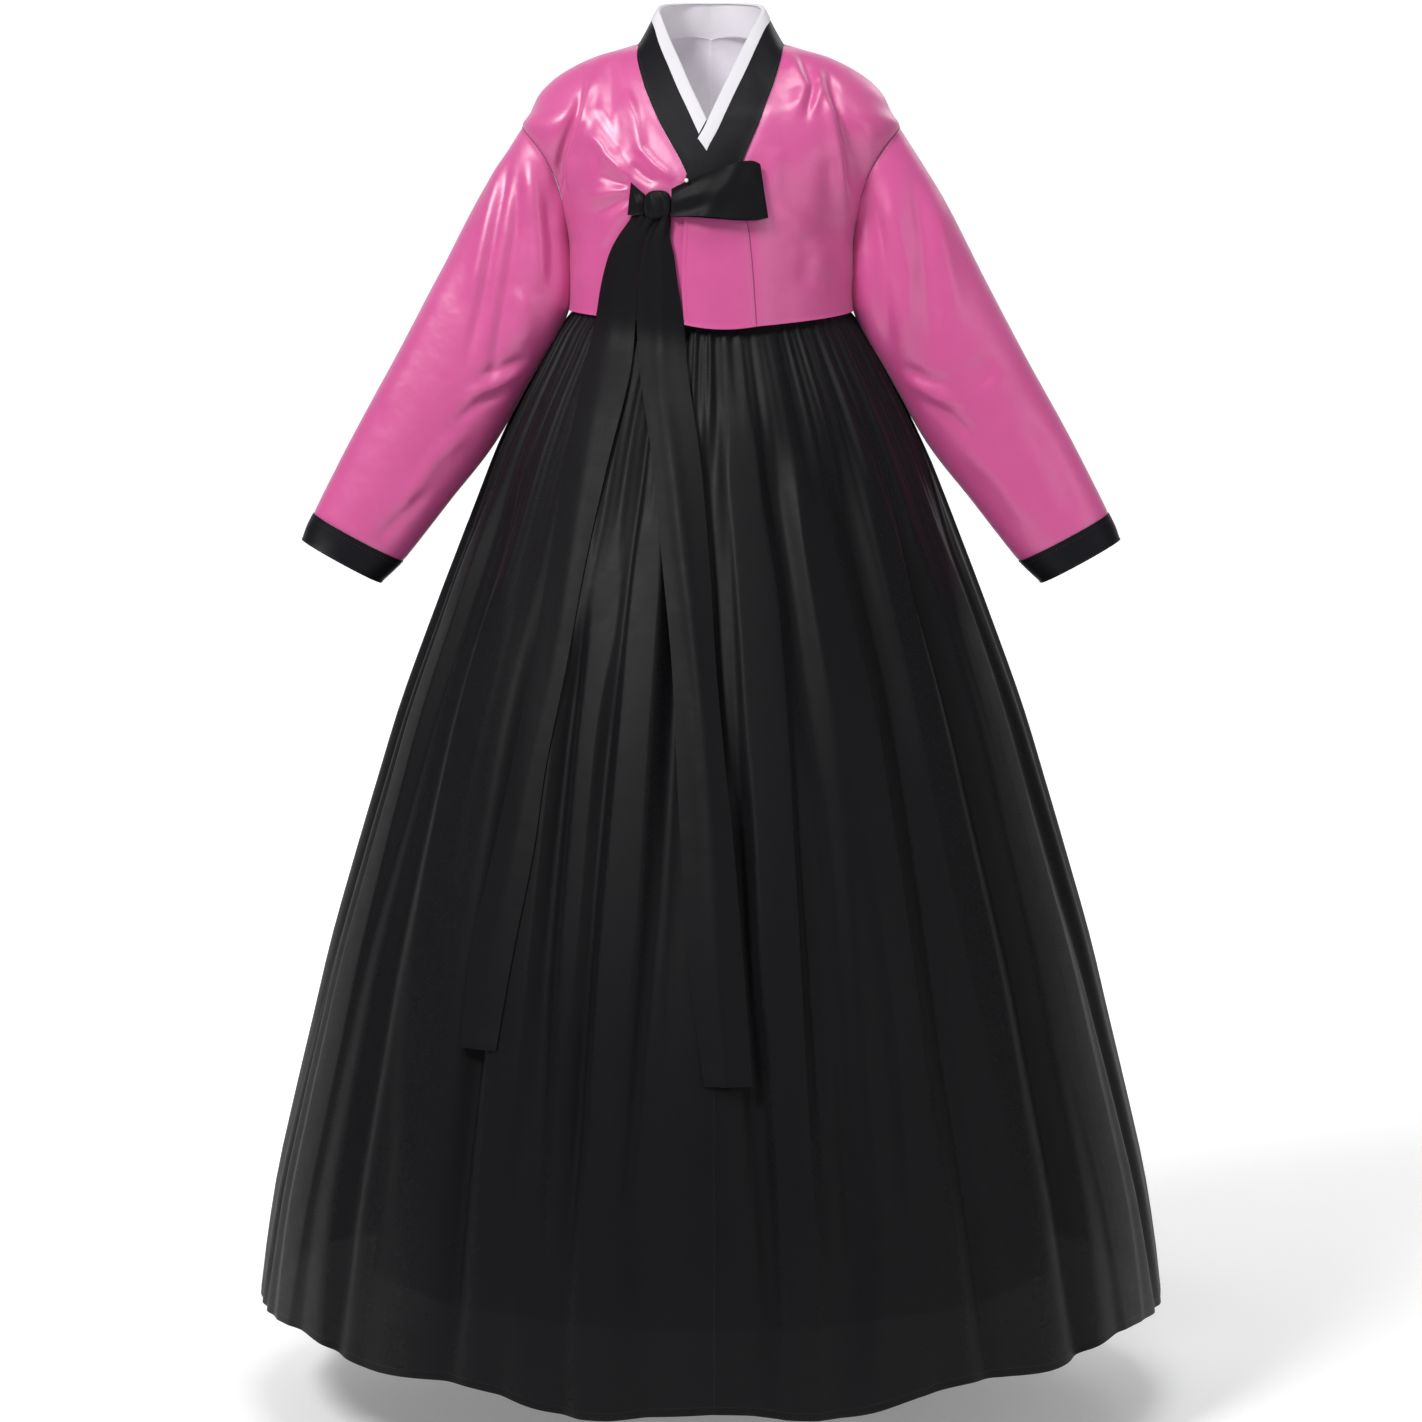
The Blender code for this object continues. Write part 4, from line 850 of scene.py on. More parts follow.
def sew(name: str, outer: Array, inner: Array, outside: Finish, inside: Optional[Finish] = None,
        closed: bool = False) -> Piece:
    """Makes a closed shell of cloth from its two faces.

    Args:
        name: the piece's name.
        outer: rows of points on the outside.
        inner: the same on the inside.
        outside: finish of the outside and the edges.
        inside: finish of the inside, if it is another one.
        closed: whether each row's last point is joined to its first.

    Returns:
        The piece.
    """
    rows, columns = outer.shape[:2]
    count = rows * columns
    index = np.arange(count).reshape(rows, columns)
    face = outer
    if closed:
        index = np.concatenate([index, index[:, :1]], axis=1)
        face = np.concatenate([outer, outer[:, :1]], axis=1)
    flat = measured(face).reshape(-1, 2)
    own = np.arange(flat.shape[0]).reshape(index.shape)

    def rims(grid: Array, shift: int) -> Array:
        """Faces that close the borders; shift gives the inner grid's numbers."""
        lines = [grid[0][::-1], grid[-1]] + ([] if closed else [grid[:, 0], grid[:, -1][::-1]])
        made = [np.stack([line[:-1], line[1:], line[1:] + shift, line[:-1] + shift], -1) for line in lines]
        return np.concatenate(made)
    faces = np.concatenate([quads(index), quads(index)[:, ::-1] + count, rims(index, count)])
    spots = np.concatenate([quads(own), quads(own)[:, ::-1], rims(own, 0)])
    vertices = np.concatenate([outer.reshape(-1, 3), inner.reshape(-1, 3)])
    a, b, c, d = (vertices[faces[:, k]] for k in range(4))
    volume = np.einsum("ij,ij->", a, np.cross(b, c)) + np.einsum("ij,ij->", a, np.cross(c, d))
    if volume < 0:
        faces, spots = faces[:, ::-1], spots[:, ::-1]
    mesh = bpy.data.meshes.new(name)
    mesh.from_pydata(vertices.tolist(), [], faces.tolist())
    mesh.uv_layers.new(name="cut").data.foreach_set("uv", flat[spots.reshape(-1)].reshape(-1))
    mesh.materials.append(outside.material())
    slots = np.zeros(len(faces), np.int32)
    if inside is not None:
        mesh.materials.append(inside.material())
        side = len(quads(index))
        slots[side:2 * side] = 1
        if not closed:
            first = 2 * side + 2 * (columns - 1)
            slots[first:first + rows - 1] = 1
    mesh.polygons.foreach_set("material_index", slots)
    mesh.shade_smooth()
    border = np.zeros(2 * count, bool)
    for grid in (index, index + count):
        border[grid[[0, -1]].reshape(-1)] = True
        if not closed:
            border[grid[:, [0, -1]].reshape(-1)] = True
    ends = np.empty(2 * len(mesh.edges), np.int32)
    mesh.edges.foreach_get("vertices", ends)
    ends = ends.reshape(-1, 2)
    sharp = border[ends].all(axis=1) & ((ends[:, 0] < count) == (ends[:, 1] < count))
    mesh.attributes.new("sharp_edge", "BOOLEAN", "EDGE").data.foreach_set("value", sharp)
    mesh.validate()
    made = bpy.data.objects.new(name + CLOTH, mesh)
    bpy.context.scene.collection.objects.link(made)
    LOG.info("%s: %d triangles", made.name, 2 * len(faces))
    return made


def area_of(piece: Piece) -> float:
    """Half of a piece's surface, which is its cloth's area."""
    return sum(face.area for face in piece.data.polygons) / 2


def declare(piece: Piece) -> Piece:
    """Puts a piece of cloth under the root, hides the solid that it stands for and logs its area.

    Args:
        piece: the piece; it replaces the solid that it is named after.

    Returns:
        The piece.
    """
    node = piece.name.removesuffix(CLOTH)
    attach(piece, ROOT)
    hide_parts(node)
    LOG.info("%s: %.4f square metres of cloth", piece.name, area_of(piece))
    return piece


def edge_lift(share: Array, width: Array, start: Border, end: Border) -> Array:
    """How far the cloth rises or dips at two opposite borders.

    Args:
        share: places between the borders, from 0 to 1.
        width: distance between the borders.
        start: how the cloth ends at 0.
        end: how it ends at 1.

    Returns:
        The rise at each place.
    """
    return (start.value * hump(share * width, SEAM_REACH)
            + end.value * hump((1.0 - share) * width, SEAM_REACH))


@dataclass(frozen=True)
class Wave:
    """A gentle wave of cloth."""
    size: float
    turns: float
    start: float = 0.0
    slant: float = 0.0

    def at(self, u: Array, v: Array = 0.0) -> Array:
        """Its rise at some places; the slant is its share of the second coordinate."""
        return self.size * np.sin(self.turns * u + self.slant * v + self.start)


@dataclass
class Jacket:
    """The jacket's body: two fronts, two overlap pieces and two back halves, all lined."""
    rows: int = 116
    columns: int = 84
    close_rows: tuple[float, ...] = (0.004, 0.009, 0.018)
    overlap_rows: int = 44
    overlap_columns: int = 24
    length: float = 0.30              # about how long a panel and an overlap piece are
    overlap_length: float = 0.14
    sag: float = 0.0040
    inner_calm: float = 0.010         # no folds this near to a panel's edges
    outer_calm: float = 0.006
    shoulder_sink: float = 0.0050     # how far the shoulder dips beside the sleeve, over these reaches
    sink_reach: float = 0.42
    sink_turn: float = 0.45
    collar_lead: float = 1.2          # rows of a front lie closer together at the top of the collar
    overlap_wave: Wave = Wave(0.0007, 5.2, slant=3.0)
    left_front_cut: Place = (0.180, 0.300)
    right_front_cut: Place = (0.185, 0.300)
    outer_overlap_cut: Place = (0.075, 0.150)
    inner_overlap_cut: Place = (0.055, 0.155)
    back_cut: Place = (0.215, 0.330)

    def sunk(self, station: Array, angle: Array) -> Array:
        """How far the shoulder dips beside the sleeve."""
        beside = hump(station - SHOULDER_ROW + 0.5, self.sink_reach)
        return self.shoulder_sink * beside * hump(np.abs(angle) - math.pi / 2, self.sink_turn)

    def side_edge(self, row: Array) -> tuple[Array, Array]:
        """Outer edge of the left front: its half of the armhole, then the side seam.

        Args:
            row: places down the panel.

        Returns:
            Stations and angles.
        """
        station, angle = armhole(math.pi * np.minimum(row, ARM_ROWS) / ARM_ROWS)
        height = np.interp(row - ARM_ROWS, np.arange(SIDE_ROWS + 1), SIDE_HEIGHTS)
        below = row > ARM_ROWS
        return np.where(below, TORSO.place(0, height), station), np.where(below, math.pi / 2, angle)

    def front_edge(self, collar: Profile, seam: Profile, row: Array) -> tuple[Array, Array]:
        """Inner edge of a front: down the collar, then down the overlap's seam.

        Args:
            collar: the collar's edges on this side.
            seam: the overlap's seam.
            row: places down the panel.

        Returns:
            Stations and angles.
        """
        down = (np.minimum(row, FRONT_NECK_ROWS) / FRONT_NECK_ROWS) ** self.collar_lead
        above = collar.at(collar.last * down)[..., :2]
        table = Profile(collar.rows[-1][:2], *seam.rows[1:])
        below = table.at(np.maximum(row - FRONT_NECK_ROWS, 0.0))
        spot = np.where((row > FRONT_NECK_ROWS)[..., None], below, above)
        return on_front(spot[..., 0], spot[..., 1])

    def back_edge(self, row: Array) -> tuple[Array, Array]:
        """Inner edge of a back half: round the neckline, then down the middle seam.

        Args:
            row: places down the panel.

        Returns:
            Stations and angles.
        """
        neckline = BACK_NECK.at(BACK_NECK_ROWS - np.minimum(row, BACK_NECK_ROWS))
        start, hem = BACK_NECK.rows[0, 0], float(TORSO.place(0, BACK_HEM))
        ends = (BACK_NECK_ROWS, ARM_ROWS, ARM_ROWS + SIDE_ROWS)
        below = row > BACK_NECK_ROWS
        station = np.where(below, np.interp(row, ends, (start, UNDERARM_ROW, hem)), neckline[..., 0])
        return station, np.where(below, math.pi, np.radians(neckline[..., 1]))

    def panel(self, name: str, side: float, inner: tuple[Array, Array], outer: tuple[Array, Array],
              over: Optional[Callable[[Array, Array], Array]] = None) -> Piece:
        """Makes one of the four large panels.

        Args:
            name: the piece's name.
            side: 1 for the wearer's left, -1 for the right.
            inner: stations and angles of its inner edge.
            outer: the same of its outer edge.
            over: how far it lies over another piece.

        Returns:
            The piece.
        """
        across = near_edges(self.columns)
        station = inner[0][:, None] + (outer[0] - inner[0])[:, None] * across
        angle = side * (inner[1][:, None] + (outer[1] - inner[1])[:, None] * across)
        base = torso(station, angle)
        width = np.linalg.norm(base[:, -1:] - base[:, :1], axis=-1)
        down = np.linspace(0, 1, len(base))[:, None]
        lift = folded(base, BODY_FOLDS) * ease(across * width / self.inner_calm)
        lift *= ease((1 - across) * width / self.outer_calm + 0.5)
        lift += edge_lift(across, width, Border.SEAM, Border.SEAM) - self.sunk(station, angle)
        lift += Border.FREE.value * hump((1.0 - down) * self.length, SEAM_REACH)
        if over is not None:
            lift += over(base[..., 0], base[..., 2])
        faces = [drawn_in(skin(station, angle, lift - depth), False, True) for depth in (0.0, LINED)]
        return sew(name, *faces, SATIN, JACKET_LINING)

    def overlap(self, name: str, side: float, seam: Profile, edge: Profile, sag: float,
                over: Optional[Callable[[Array, Array], Array]] = None) -> Piece:
        """Makes one of the two narrow pieces between the fronts.

        Args:
            name: the piece's name.
            side: 1 for the wearer's left, -1 for the right.
            seam: its seam to the front.
            edge: its free edge.
            sag: how far its hem hangs lower in the middle.
            over: how far it lies over another piece.

        Returns:
            The piece.
        """
        row = seam.last * near_edges(self.overlap_rows, (0.008, 0.02, 0.04))[:, None]
        across = near_edges(self.overlap_columns, (0.012, 0.035, 0.07))
        start, end = seam.at(row), edge.at(row)
        x = side * (start[..., 0] + (end[..., 0] - start[..., 0]) * across)
        z = start[..., 1] + (end[..., 1] - start[..., 1]) * across
        z = z - sag * 4 * across * (1 - across) * ease(row - seam.last + 1)
        width = np.abs(end[..., 0] - start[..., 0])
        lift = edge_lift(across, width, Border.SEAM, Border.FREE)
        lift += Border.FREE.value * hump((1.0 - row / seam.last) * self.overlap_length, SEAM_REACH)
        lift += self.overlap_wave.at(across, row / seam.last) * np.sin(math.pi * across)
        if over is not None:
            lift += over(x, z)
        faces = [on_chest(x, z, lift - depth) for depth in (0.0, LINED)]
        faces = [np.concatenate([drawn_in(grid, False, True)[:, :1], grid[:, 1:]], axis=1)
                 for grid in faces]
        return sew(name, *faces, SATIN, JACKET_LINING)

    def build(self) -> None:
        row = (ARM_ROWS + SIDE_ROWS) * near_edges(self.rows, self.close_rows)
        outer = self.side_edge(row)
        behind = (outer[0], math.pi - outer[1])
        for hand, side, collar, seam, cut, over in (
                ("left", 1, UPPER_NECK, LEFT_SEAM, self.left_front_cut, lap),
                ("right", -1, LOWER_NECK, RIGHT_SEAM, self.right_front_cut, None)):
            inner = self.front_edge(collar, seam, row)
            piece = self.panel("jeogori_front_" + hand, side, inner, outer, over)
            declare(piece)
        for hand, side in (("left", 1), ("right", -1)):
            piece = self.panel("jeogori_back_" + hand, side, self.back_edge(row), behind)
            declare(piece)
        upper = self.overlap("jeogori_seop_outer", 1, LEFT_SEAM, FREE_EDGE, self.sag, lap)
        declare(upper)
        under = self.overlap("jeogori_seop_inner", -1, RIGHT_SEAM, HIDDEN_EDGE, 0.0)
        declare(under)


@dataclass
class Collar:
    """The collar band, and the white strip folded over its upper edge."""
    rows: int = 170
    columns: int = 12
    belly: float = 0.0005             # how far the band bulges along its middle
    band_wave: Wave = Wave(0.0004, 2.3, slant=4.0)
    strip_width: float = 0.0133
    strip_ends: tuple[Place, Place] = ((5.68, 6.00), (4.72, 5.16))
    strip_columns: int = 9            # on the strip's face; the rows below turn it over the band's edge
    strip_out: float = 0.0011
    strip_belly: float = 0.0004
    strip_wall: float = 0.0008
    turned_out: tuple[float, ...] = (0.0006, 0.0018, 0.0030, 0.0042)
    turned_over: tuple[float, ...] = (0.0006, 0.0009, 0.0007, 0.0002)
    turned_wall: tuple[float, ...] = (0.0008, 0.0004, 0.0, -0.0004)
    turned_under: float = 0.0007
    band_cut: Place = (0.640, 0.050)
    strip_cut: Place = (0.520, 0.018)

    def band(self) -> None:
        end = BACK_NECK_ROWS + UPPER_NECK.last
        place = np.linspace(-end, end, self.rows)[:, None]
        across = near_edges(self.columns, (0.02, 0.05))[None, :]
        lower, upper, _ = neck(place[:, 0])
        width = np.linalg.norm(upper - lower, axis=-1)[:, None]
        lift = edge_lift(across, width, Border.FREE, Border.PLAIN)
        lift = lift + (self.belly + self.band_wave.at(place, across)) * np.sin(math.pi * across)
        faces = [drawn_in(collar_point(place, across, out), True, False)
                 for out in (PROUD + lift, np.full_like(lift, PROUD - BAND))]
        made = sew("jeogori_collar", *faces, BLACK_BAND, BAND_BACK)
        declare(made)

    def strip(self) -> None:
        face = np.linspace(0, 1, self.strip_columns)
        none = np.zeros(self.strip_columns)
        lead = np.linspace(0, 1, self.rows)[:, None]
        share = np.concatenate([face, np.ones(len(self.turned_over))])
        out = PROUD + self.strip_out + np.concatenate([self.strip_belly * np.sin(math.pi * face),
                                                       -np.array(self.turned_out)])
        outer_end, inner_end = (np.interp(share, (0, 1), (ends[1], ends[0])) for ends in self.strip_ends)
        along = (BACK_NECK_ROWS + outer_end) * lead - (BACK_NECK_ROWS + inner_end) * (1 - lead)
        low, high, _ = neck(along)
        spread = 1.0 - self.strip_width / np.linalg.norm(high - low, axis=-1) * (1.0 - share)
        over = np.concatenate([none, self.turned_over])[None, :, None]
        under = np.concatenate([none, np.full(len(self.turned_over), self.turned_under)])[None, :, None]
        wall = np.concatenate([none + self.strip_wall, self.turned_wall])
        way = unit(high - low)
        outer = collar_point(along, spread, out + 0 * along) + way * over
        inner = collar_point(along, spread, out - wall + 0 * along) + way * (over - under)
        made = sew("jeogori_dongjeong", outer, inner, WHITE_STRIP)
        declare(made)

    def build(self) -> None:
        """Makes the band and its strip."""
        self.band()
        self.strip()


@dataclass
class Sleeves:
    """Both sleeves and the bands at their wrists."""
    rows: int = 112
    columns: int = 104
    sleeve_cut: Place = (0.300, 0.480)
    cuff_cut: Place = (0.210, 0.028)
    calm: float = 0.012               # no folds this near to a seam
    shoulder_sink: float = 0.0013     # how far the top dips beside the shoulder, over these reaches
    sink_turn: float = 0.8
    sink_length: float = 0.045
    side_fill: float = 0.0142         # how far the inner edge is filled out, where and over what reaches
    fill_turn: Place = (2.70, 0.65)
    fill_height: Place = (-0.258, 0.085)
    cuff_wave: Wave = Wave(0.0006, 3, 1.0)

    def tube(self, name: str, side: float, place: Array, start: Border, end: Border, proud: float,
             wall: float, outside: Finish, inside: Finish) -> Piece:
        """Makes a stretch of a sleeve.

        Args:
            name: the piece's name.
            side: 1 for the wearer's left, -1 for the right.
            place: places down the arm.
            start: how the cloth ends nearer the shoulder.
            end: how it ends nearer the hand.
            proud: how far it stands over the sleeve's form.
            wall: its thickness.
            outside: its outer finish.
            inside: its inner finish.

        Returns:
            The piece.
        """
        turn, place = round_turn(self.columns), place[:, None]
        base, way = (mirrored(grid, side) for grid in (sleeve_base(place, turn), sleeve_out(place, turn)))
        run = np.zeros(len(place))
        run[1:] = np.cumsum(np.linalg.norm(np.diff(base.mean(axis=1), axis=0), axis=-1))
        share, length = (run / run[-1])[:, None], run[-1]
        lift = proud + edge_lift(share, length, start, end)
        if start is Border.SEAM and end is Border.SEAM:
            ends = ease(share * length / self.calm + 0.2) * ease((1 - share) * length / self.calm)
            lift = lift + folded(base, SLEEVE_FOLDS) * ends
            over = hump(np.angle(np.exp(1j * turn)), self.sink_turn)
            lift = lift - self.shoulder_sink * over * hump(share * length, self.sink_length)
            (middle, reach), (level, tall) = self.fill_turn, self.fill_height
            lift = lift + self.side_fill * hump(turn - middle, reach) * hump(base[..., 2] - level, tall)
        else:
            lift = lift + self.cuff_wave.at(turn) * np.sin(math.pi * share)
        faces = [drawn_in(base + way * (lift - depth)[..., None], True, False) for depth in (0.0, wall)]
        return sew(name, *faces, outside, inside, closed=True)

    def build(self) -> None:
        """Makes and declares sleeves and cuffs."""
        place = CUFF_SEAM * near_edges(self.rows, (0.004, 0.009, 0.018)) ** 1.1
        cuff = CUFF_SEAM + (CUFF_END - CUFF_SEAM) * near_edges(10, (0.03, 0.08, 0.15))
        for side, hand in ((1, "left"), (-1, "right")):
            sleeve = self.tube("jeogori_sleeve_" + hand, side, place, Border.SEAM, Border.SEAM, 0.0,
                               LINED, SATIN, JACKET_LINING)
            declare(sleeve)
            band = self.tube("jeogori_cuff_" + hand, side, cuff, Border.PLAIN, Border.FREE, PROUD, BAND,
                             BLACK_BAND, BAND_BACK)
            declare(band)


@dataclass
class Skirt:
    """The gathered skirt, its lining, the waistband and the two straps."""
    columns: int = 924
    rows: int = 46
    pleats: int = 66
    folds: int = 33
    drift: tuple[Wave, ...] = (Wave(1.10, 3, 0.4), Wave(0.80, 5, 1.9), Wave(0.50, 8, 4.0))
    skirt_cut: Place = (3.300, 1.150)
    lining_cut: Place = (2.400, 1.080)
    waistband_cut: Place = (0.770, 0.120)
    strap_cut: Place = (0.034, 0.320)
    band_top: float = -0.1150
    band_size: Spot = (0.1360, 0.1110, 0.0960)
    waistband: float = 0.0024
    gather: Place = (0.8, 0.35)       # strength of the pleats and of the smaller ones in them
    pleat_swell: tuple[Wave, Wave] = (Wave(0.25, 13, 0.7), Wave(1.0, 5))
    calm_swell: tuple[Wave, Wave] = (Wave(0.35, 3, 0.6), Wave(1.0, 8, 2.0))
    pleat_sway: Wave = Wave(0.7, 7, 1.0)
    pleat_tilt: float = 0.6
    small_sway: Wave = Wave(1.6, 11, 2.0)
    small_slant: float = 9.0
    fold_slant: Wave = Wave(0.5, 9, slant=2.0)
    fold_edge: float = 1.3            # below 2 the outer edge of a fold is sharper
    fold_share: float = 0.66
    fold_strength: tuple[Wave, Wave] = (Wave(0.28, 4, 1.0), Wave(0.30, 6, slant=7.0))
    side_calm: float = 0.65           # the folds are this much shallower at the sides, low down
    side_width: float = 0.20
    side_start: float = 0.70
    side_fade: float = 0.40
    calm_heights: tuple[float, ...] = (0.31, 0.42, 0.90, 1.20)
    calm_shares: tuple[float, ...] = (1.0, 0.55, 0.45, 0.12)
    hand_start: Place = (0.28, 0.40)  # the listed folds begin over these depths
    hand_in: float = 0.12             # and each one begins and ends over these lengths
    hand_out: float = 0.20
    radius_at: tuple[Place, Place] = ((0.3, 1.36), (0.17, 0.48))
    row_lead: float = 1.55            # rows lie closer together at the waist
    hem_rows: tuple[float, ...] = (0.9935, 0.9965, 1.0)
    lining_fold: float = 0.004
    lining_wave: Wave = Wave(0.0014, 29, slant=5.0)
    band_ripple: float = 0.0003
    strap_middle: float = 0.0960
    strap_inset: Place = (0.0062, 0.0070)
    strap_steps: int = 40
    strap_lead: float = 1.6

    def depth(self, angle: Array, height: Array, pleat: Array, fold: Array) -> Array:
        """How far the cloth lies inside the outermost line of the folds.

        Args:
            angle: angles round the skirt.
            height: heights.
            pleat: depth of the pleats at those heights.
            fold: depth of the folds.

        Returns:
            The depths, never less than 0.
        """
        lean = self.pleats * angle + self.pleat_sway.at(angle)
        first = 0.5 - 0.5 * np.cos(lean + self.pleat_tilt * np.sin(lean))
        second = 0.5 - 0.5 * np.cos(2 * lean + self.small_sway.at(angle) + self.small_slant * height)
        uneven = self.swelled(self.pleat_swell, angle)
        phase = self.folds * angle + sum(wave.at(angle) for wave in self.drift)
        phase = phase + self.fold_slant.at(angle, height)
        valley = 1.0 - np.abs(np.cos(phase / 2)) ** self.fold_edge
        strength = 1.0 - self.fold_strength[0].size + self.fold_strength[0].at(angle)
        strength = strength * (1.0 + self.fold_strength[1].at(angle, height))
        beside = hump(np.abs(np.sin(angle)) - 1.0, self.side_width)
        beside = beside * ease((-height - self.side_start) / self.side_fade)
        strength = strength * (1.0 - self.side_calm * beside)
        calm = np.interp(-height, self.calm_heights, self.calm_shares)
        calm = calm * self.swelled(self.calm_swell, angle)
        deep = pleat * (self.gather[0] * first + self.gather[1] * second) * uneven * calm
        deep = deep + fold * valley * strength * self.fold_share
        reach = np.interp(-height, self.hand_start, (0.0, 1.0))
        radius = np.interp(-height, *self.radius_at)
        turned = np.degrees(np.arctan2(np.sin(angle), np.cos(angle)))
        for one in SKIRT_FOLDS:
            path = np.array(one.path)
            middle = np.interp(-height, -path[:, 1], path[:, 0])
            off = np.radians((turned - middle + 180.0) % 360.0 - 180.0) * radius
            start, end = -path[0, 1], -path[-1, 1]
            alive = ease((-height - start) / self.hand_in) * ease((end + height) / self.hand_out + 0.5)
            wide = one.width * np.where(off > 0, one.lean, 1.0)
            deep = deep - one.height * hump(off, wide) * alive * reach
        return np.maximum(deep, 0.0)

    @staticmethod
    def swelled(waves: tuple[Wave, Wave], angle: Array) -> Array:
        """A strength of at most 1 that swells and fades round the skirt."""
        return 1.0 - waves[0].size + waves[0].at(angle) * waves[1].at(angle)

    def surface(self, angle: Array, height: Array, out: float) -> Array:
        """Points on the skirt's outside.

        Args:
            angle: angles round it.
            height: their heights.
            out: distance from the cloth.

        Returns:
            The points.
        """
        row = SKIRT.at(SKIRT.place(0, height))
        deep = self.depth(angle, height, row[..., 4], row[..., 5])
        return oval(height, row[..., 1:4], angle, deep - out)

    def hem_height(self, angle: Array) -> Array:
        """Heights of the hem at some angles."""
        turned = np.abs(np.arctan2(np.sin(angle), np.cos(angle))) / math.pi
        return HEM.at(turned * HEM.last)[..., 0]

    def skirt(self) -> None:
        angle = round_turn(self.columns)
        share = np.concatenate([np.linspace(0, 0.9925, self.rows) ** self.row_lead, self.hem_rows])[:, None]
        height = SKIRT_TOP + (self.hem_height(angle) - SKIRT_TOP) * share
        faces = [drawn_in(self.surface(angle, height, -inset), True, False) for inset in (0.0, CHIFFON)]
        made = sew("chima_skirt", *faces, BLACK_CHIFFON, closed=True)
        declare(made)

    def lining(self) -> None:
        angle = round_turn(300)
        row = SKIRT_LINING.at(np.linspace(0, SKIRT_LINING.last, 44)[:, None])
        top, low = SKIRT_LINING.rows[0, 0], SKIRT_LINING.rows[-1, 0]
        fade = (row[..., 0] - top) / (low - top)
        wave = self.lining_fold * fade * (1 + np.cos(12 * angle)) + fade * self.lining_wave.at(angle, fade)
        faces = [oval(row[..., 0] + 0 * angle, row[..., 1:4] + 0 * angle[..., None], angle, wave + inset)
                 for inset in (0.0, CHIFFON)]
        made = sew("chima_lining", *faces, BLACK_LINING, closed=True)
        declare(made)

    def band(self) -> None:
        angle = round_turn(180)
        share = near_edges(12, (0.01, 0.03))[:, None]
        height = self.band_top + (SKIRT_TOP - self.band_top) * share + 0 * angle
        top = np.array(self.band_size)
        size = (top + (SKIRT.rows[0, 1:4] - top) * share)[:, None, :] + 0 * angle[..., None]
        ripple = self.band_ripple * (1 + np.sin(40 * angle)) * np.sin(math.pi * share)
        faces = [drawn_in(oval(height, size, angle, ripple + inset), True, False)
                 for inset in (0.0, self.waistband)]
        made = sew("chima_waistband", *faces, WHITE_COTTON, closed=True)
        declare(made)

    def build(self) -> None:
        """Makes all of the skirt's pieces."""
        self.skirt()
        self.lining()
        self.band()
        for side, name in ((1, "chima_strap_left"), (-1, "chima_strap_right")):
            strap = sew(name, *self.strap_faces(side), WHITE_COTTON)
            declare(strap)

    def strap_faces(self, side: float) -> list[Array]:
        """Both faces of a strap, which runs over the shoulder under the jacket.

        Args:
            side: 1 for the wearer's left, -1 for the right.

        Returns:
            Two grids of points.
        """
        x = self.strap_middle + self.strap_cut[0] * (near_edges(10, (0.03, 0.07)) - 0.5)
        ridge = np.array([np.interp(value, TORSO.rows[:6, 1], np.arange(6)) for value in x])[:, None]
        bottom = float(TORSO.place(0, self.band_top + 0.0060))
        step = np.linspace(-1, 1, 2 * self.strap_steps + 1)[None, :]
        share = np.abs(step)
        station = ridge + (bottom - ridge) * share ** self.strap_lead
        half = TORSO.at(station)[..., 1]
        angle = np.arcsin(np.clip(x[:, None] / half, -1.0, 1.0))
        angle = np.where(step < 0, angle, math.pi - angle)
        angle = np.where(share < 0.5 / self.strap_steps, math.pi / 2, angle)
        inset = self.strap_inset[0] + self.strap_inset[1] * ease(share)
        return [mirrored(skin(station, angle, -inset - depth), side) for depth in (0.0, RIBBON)]


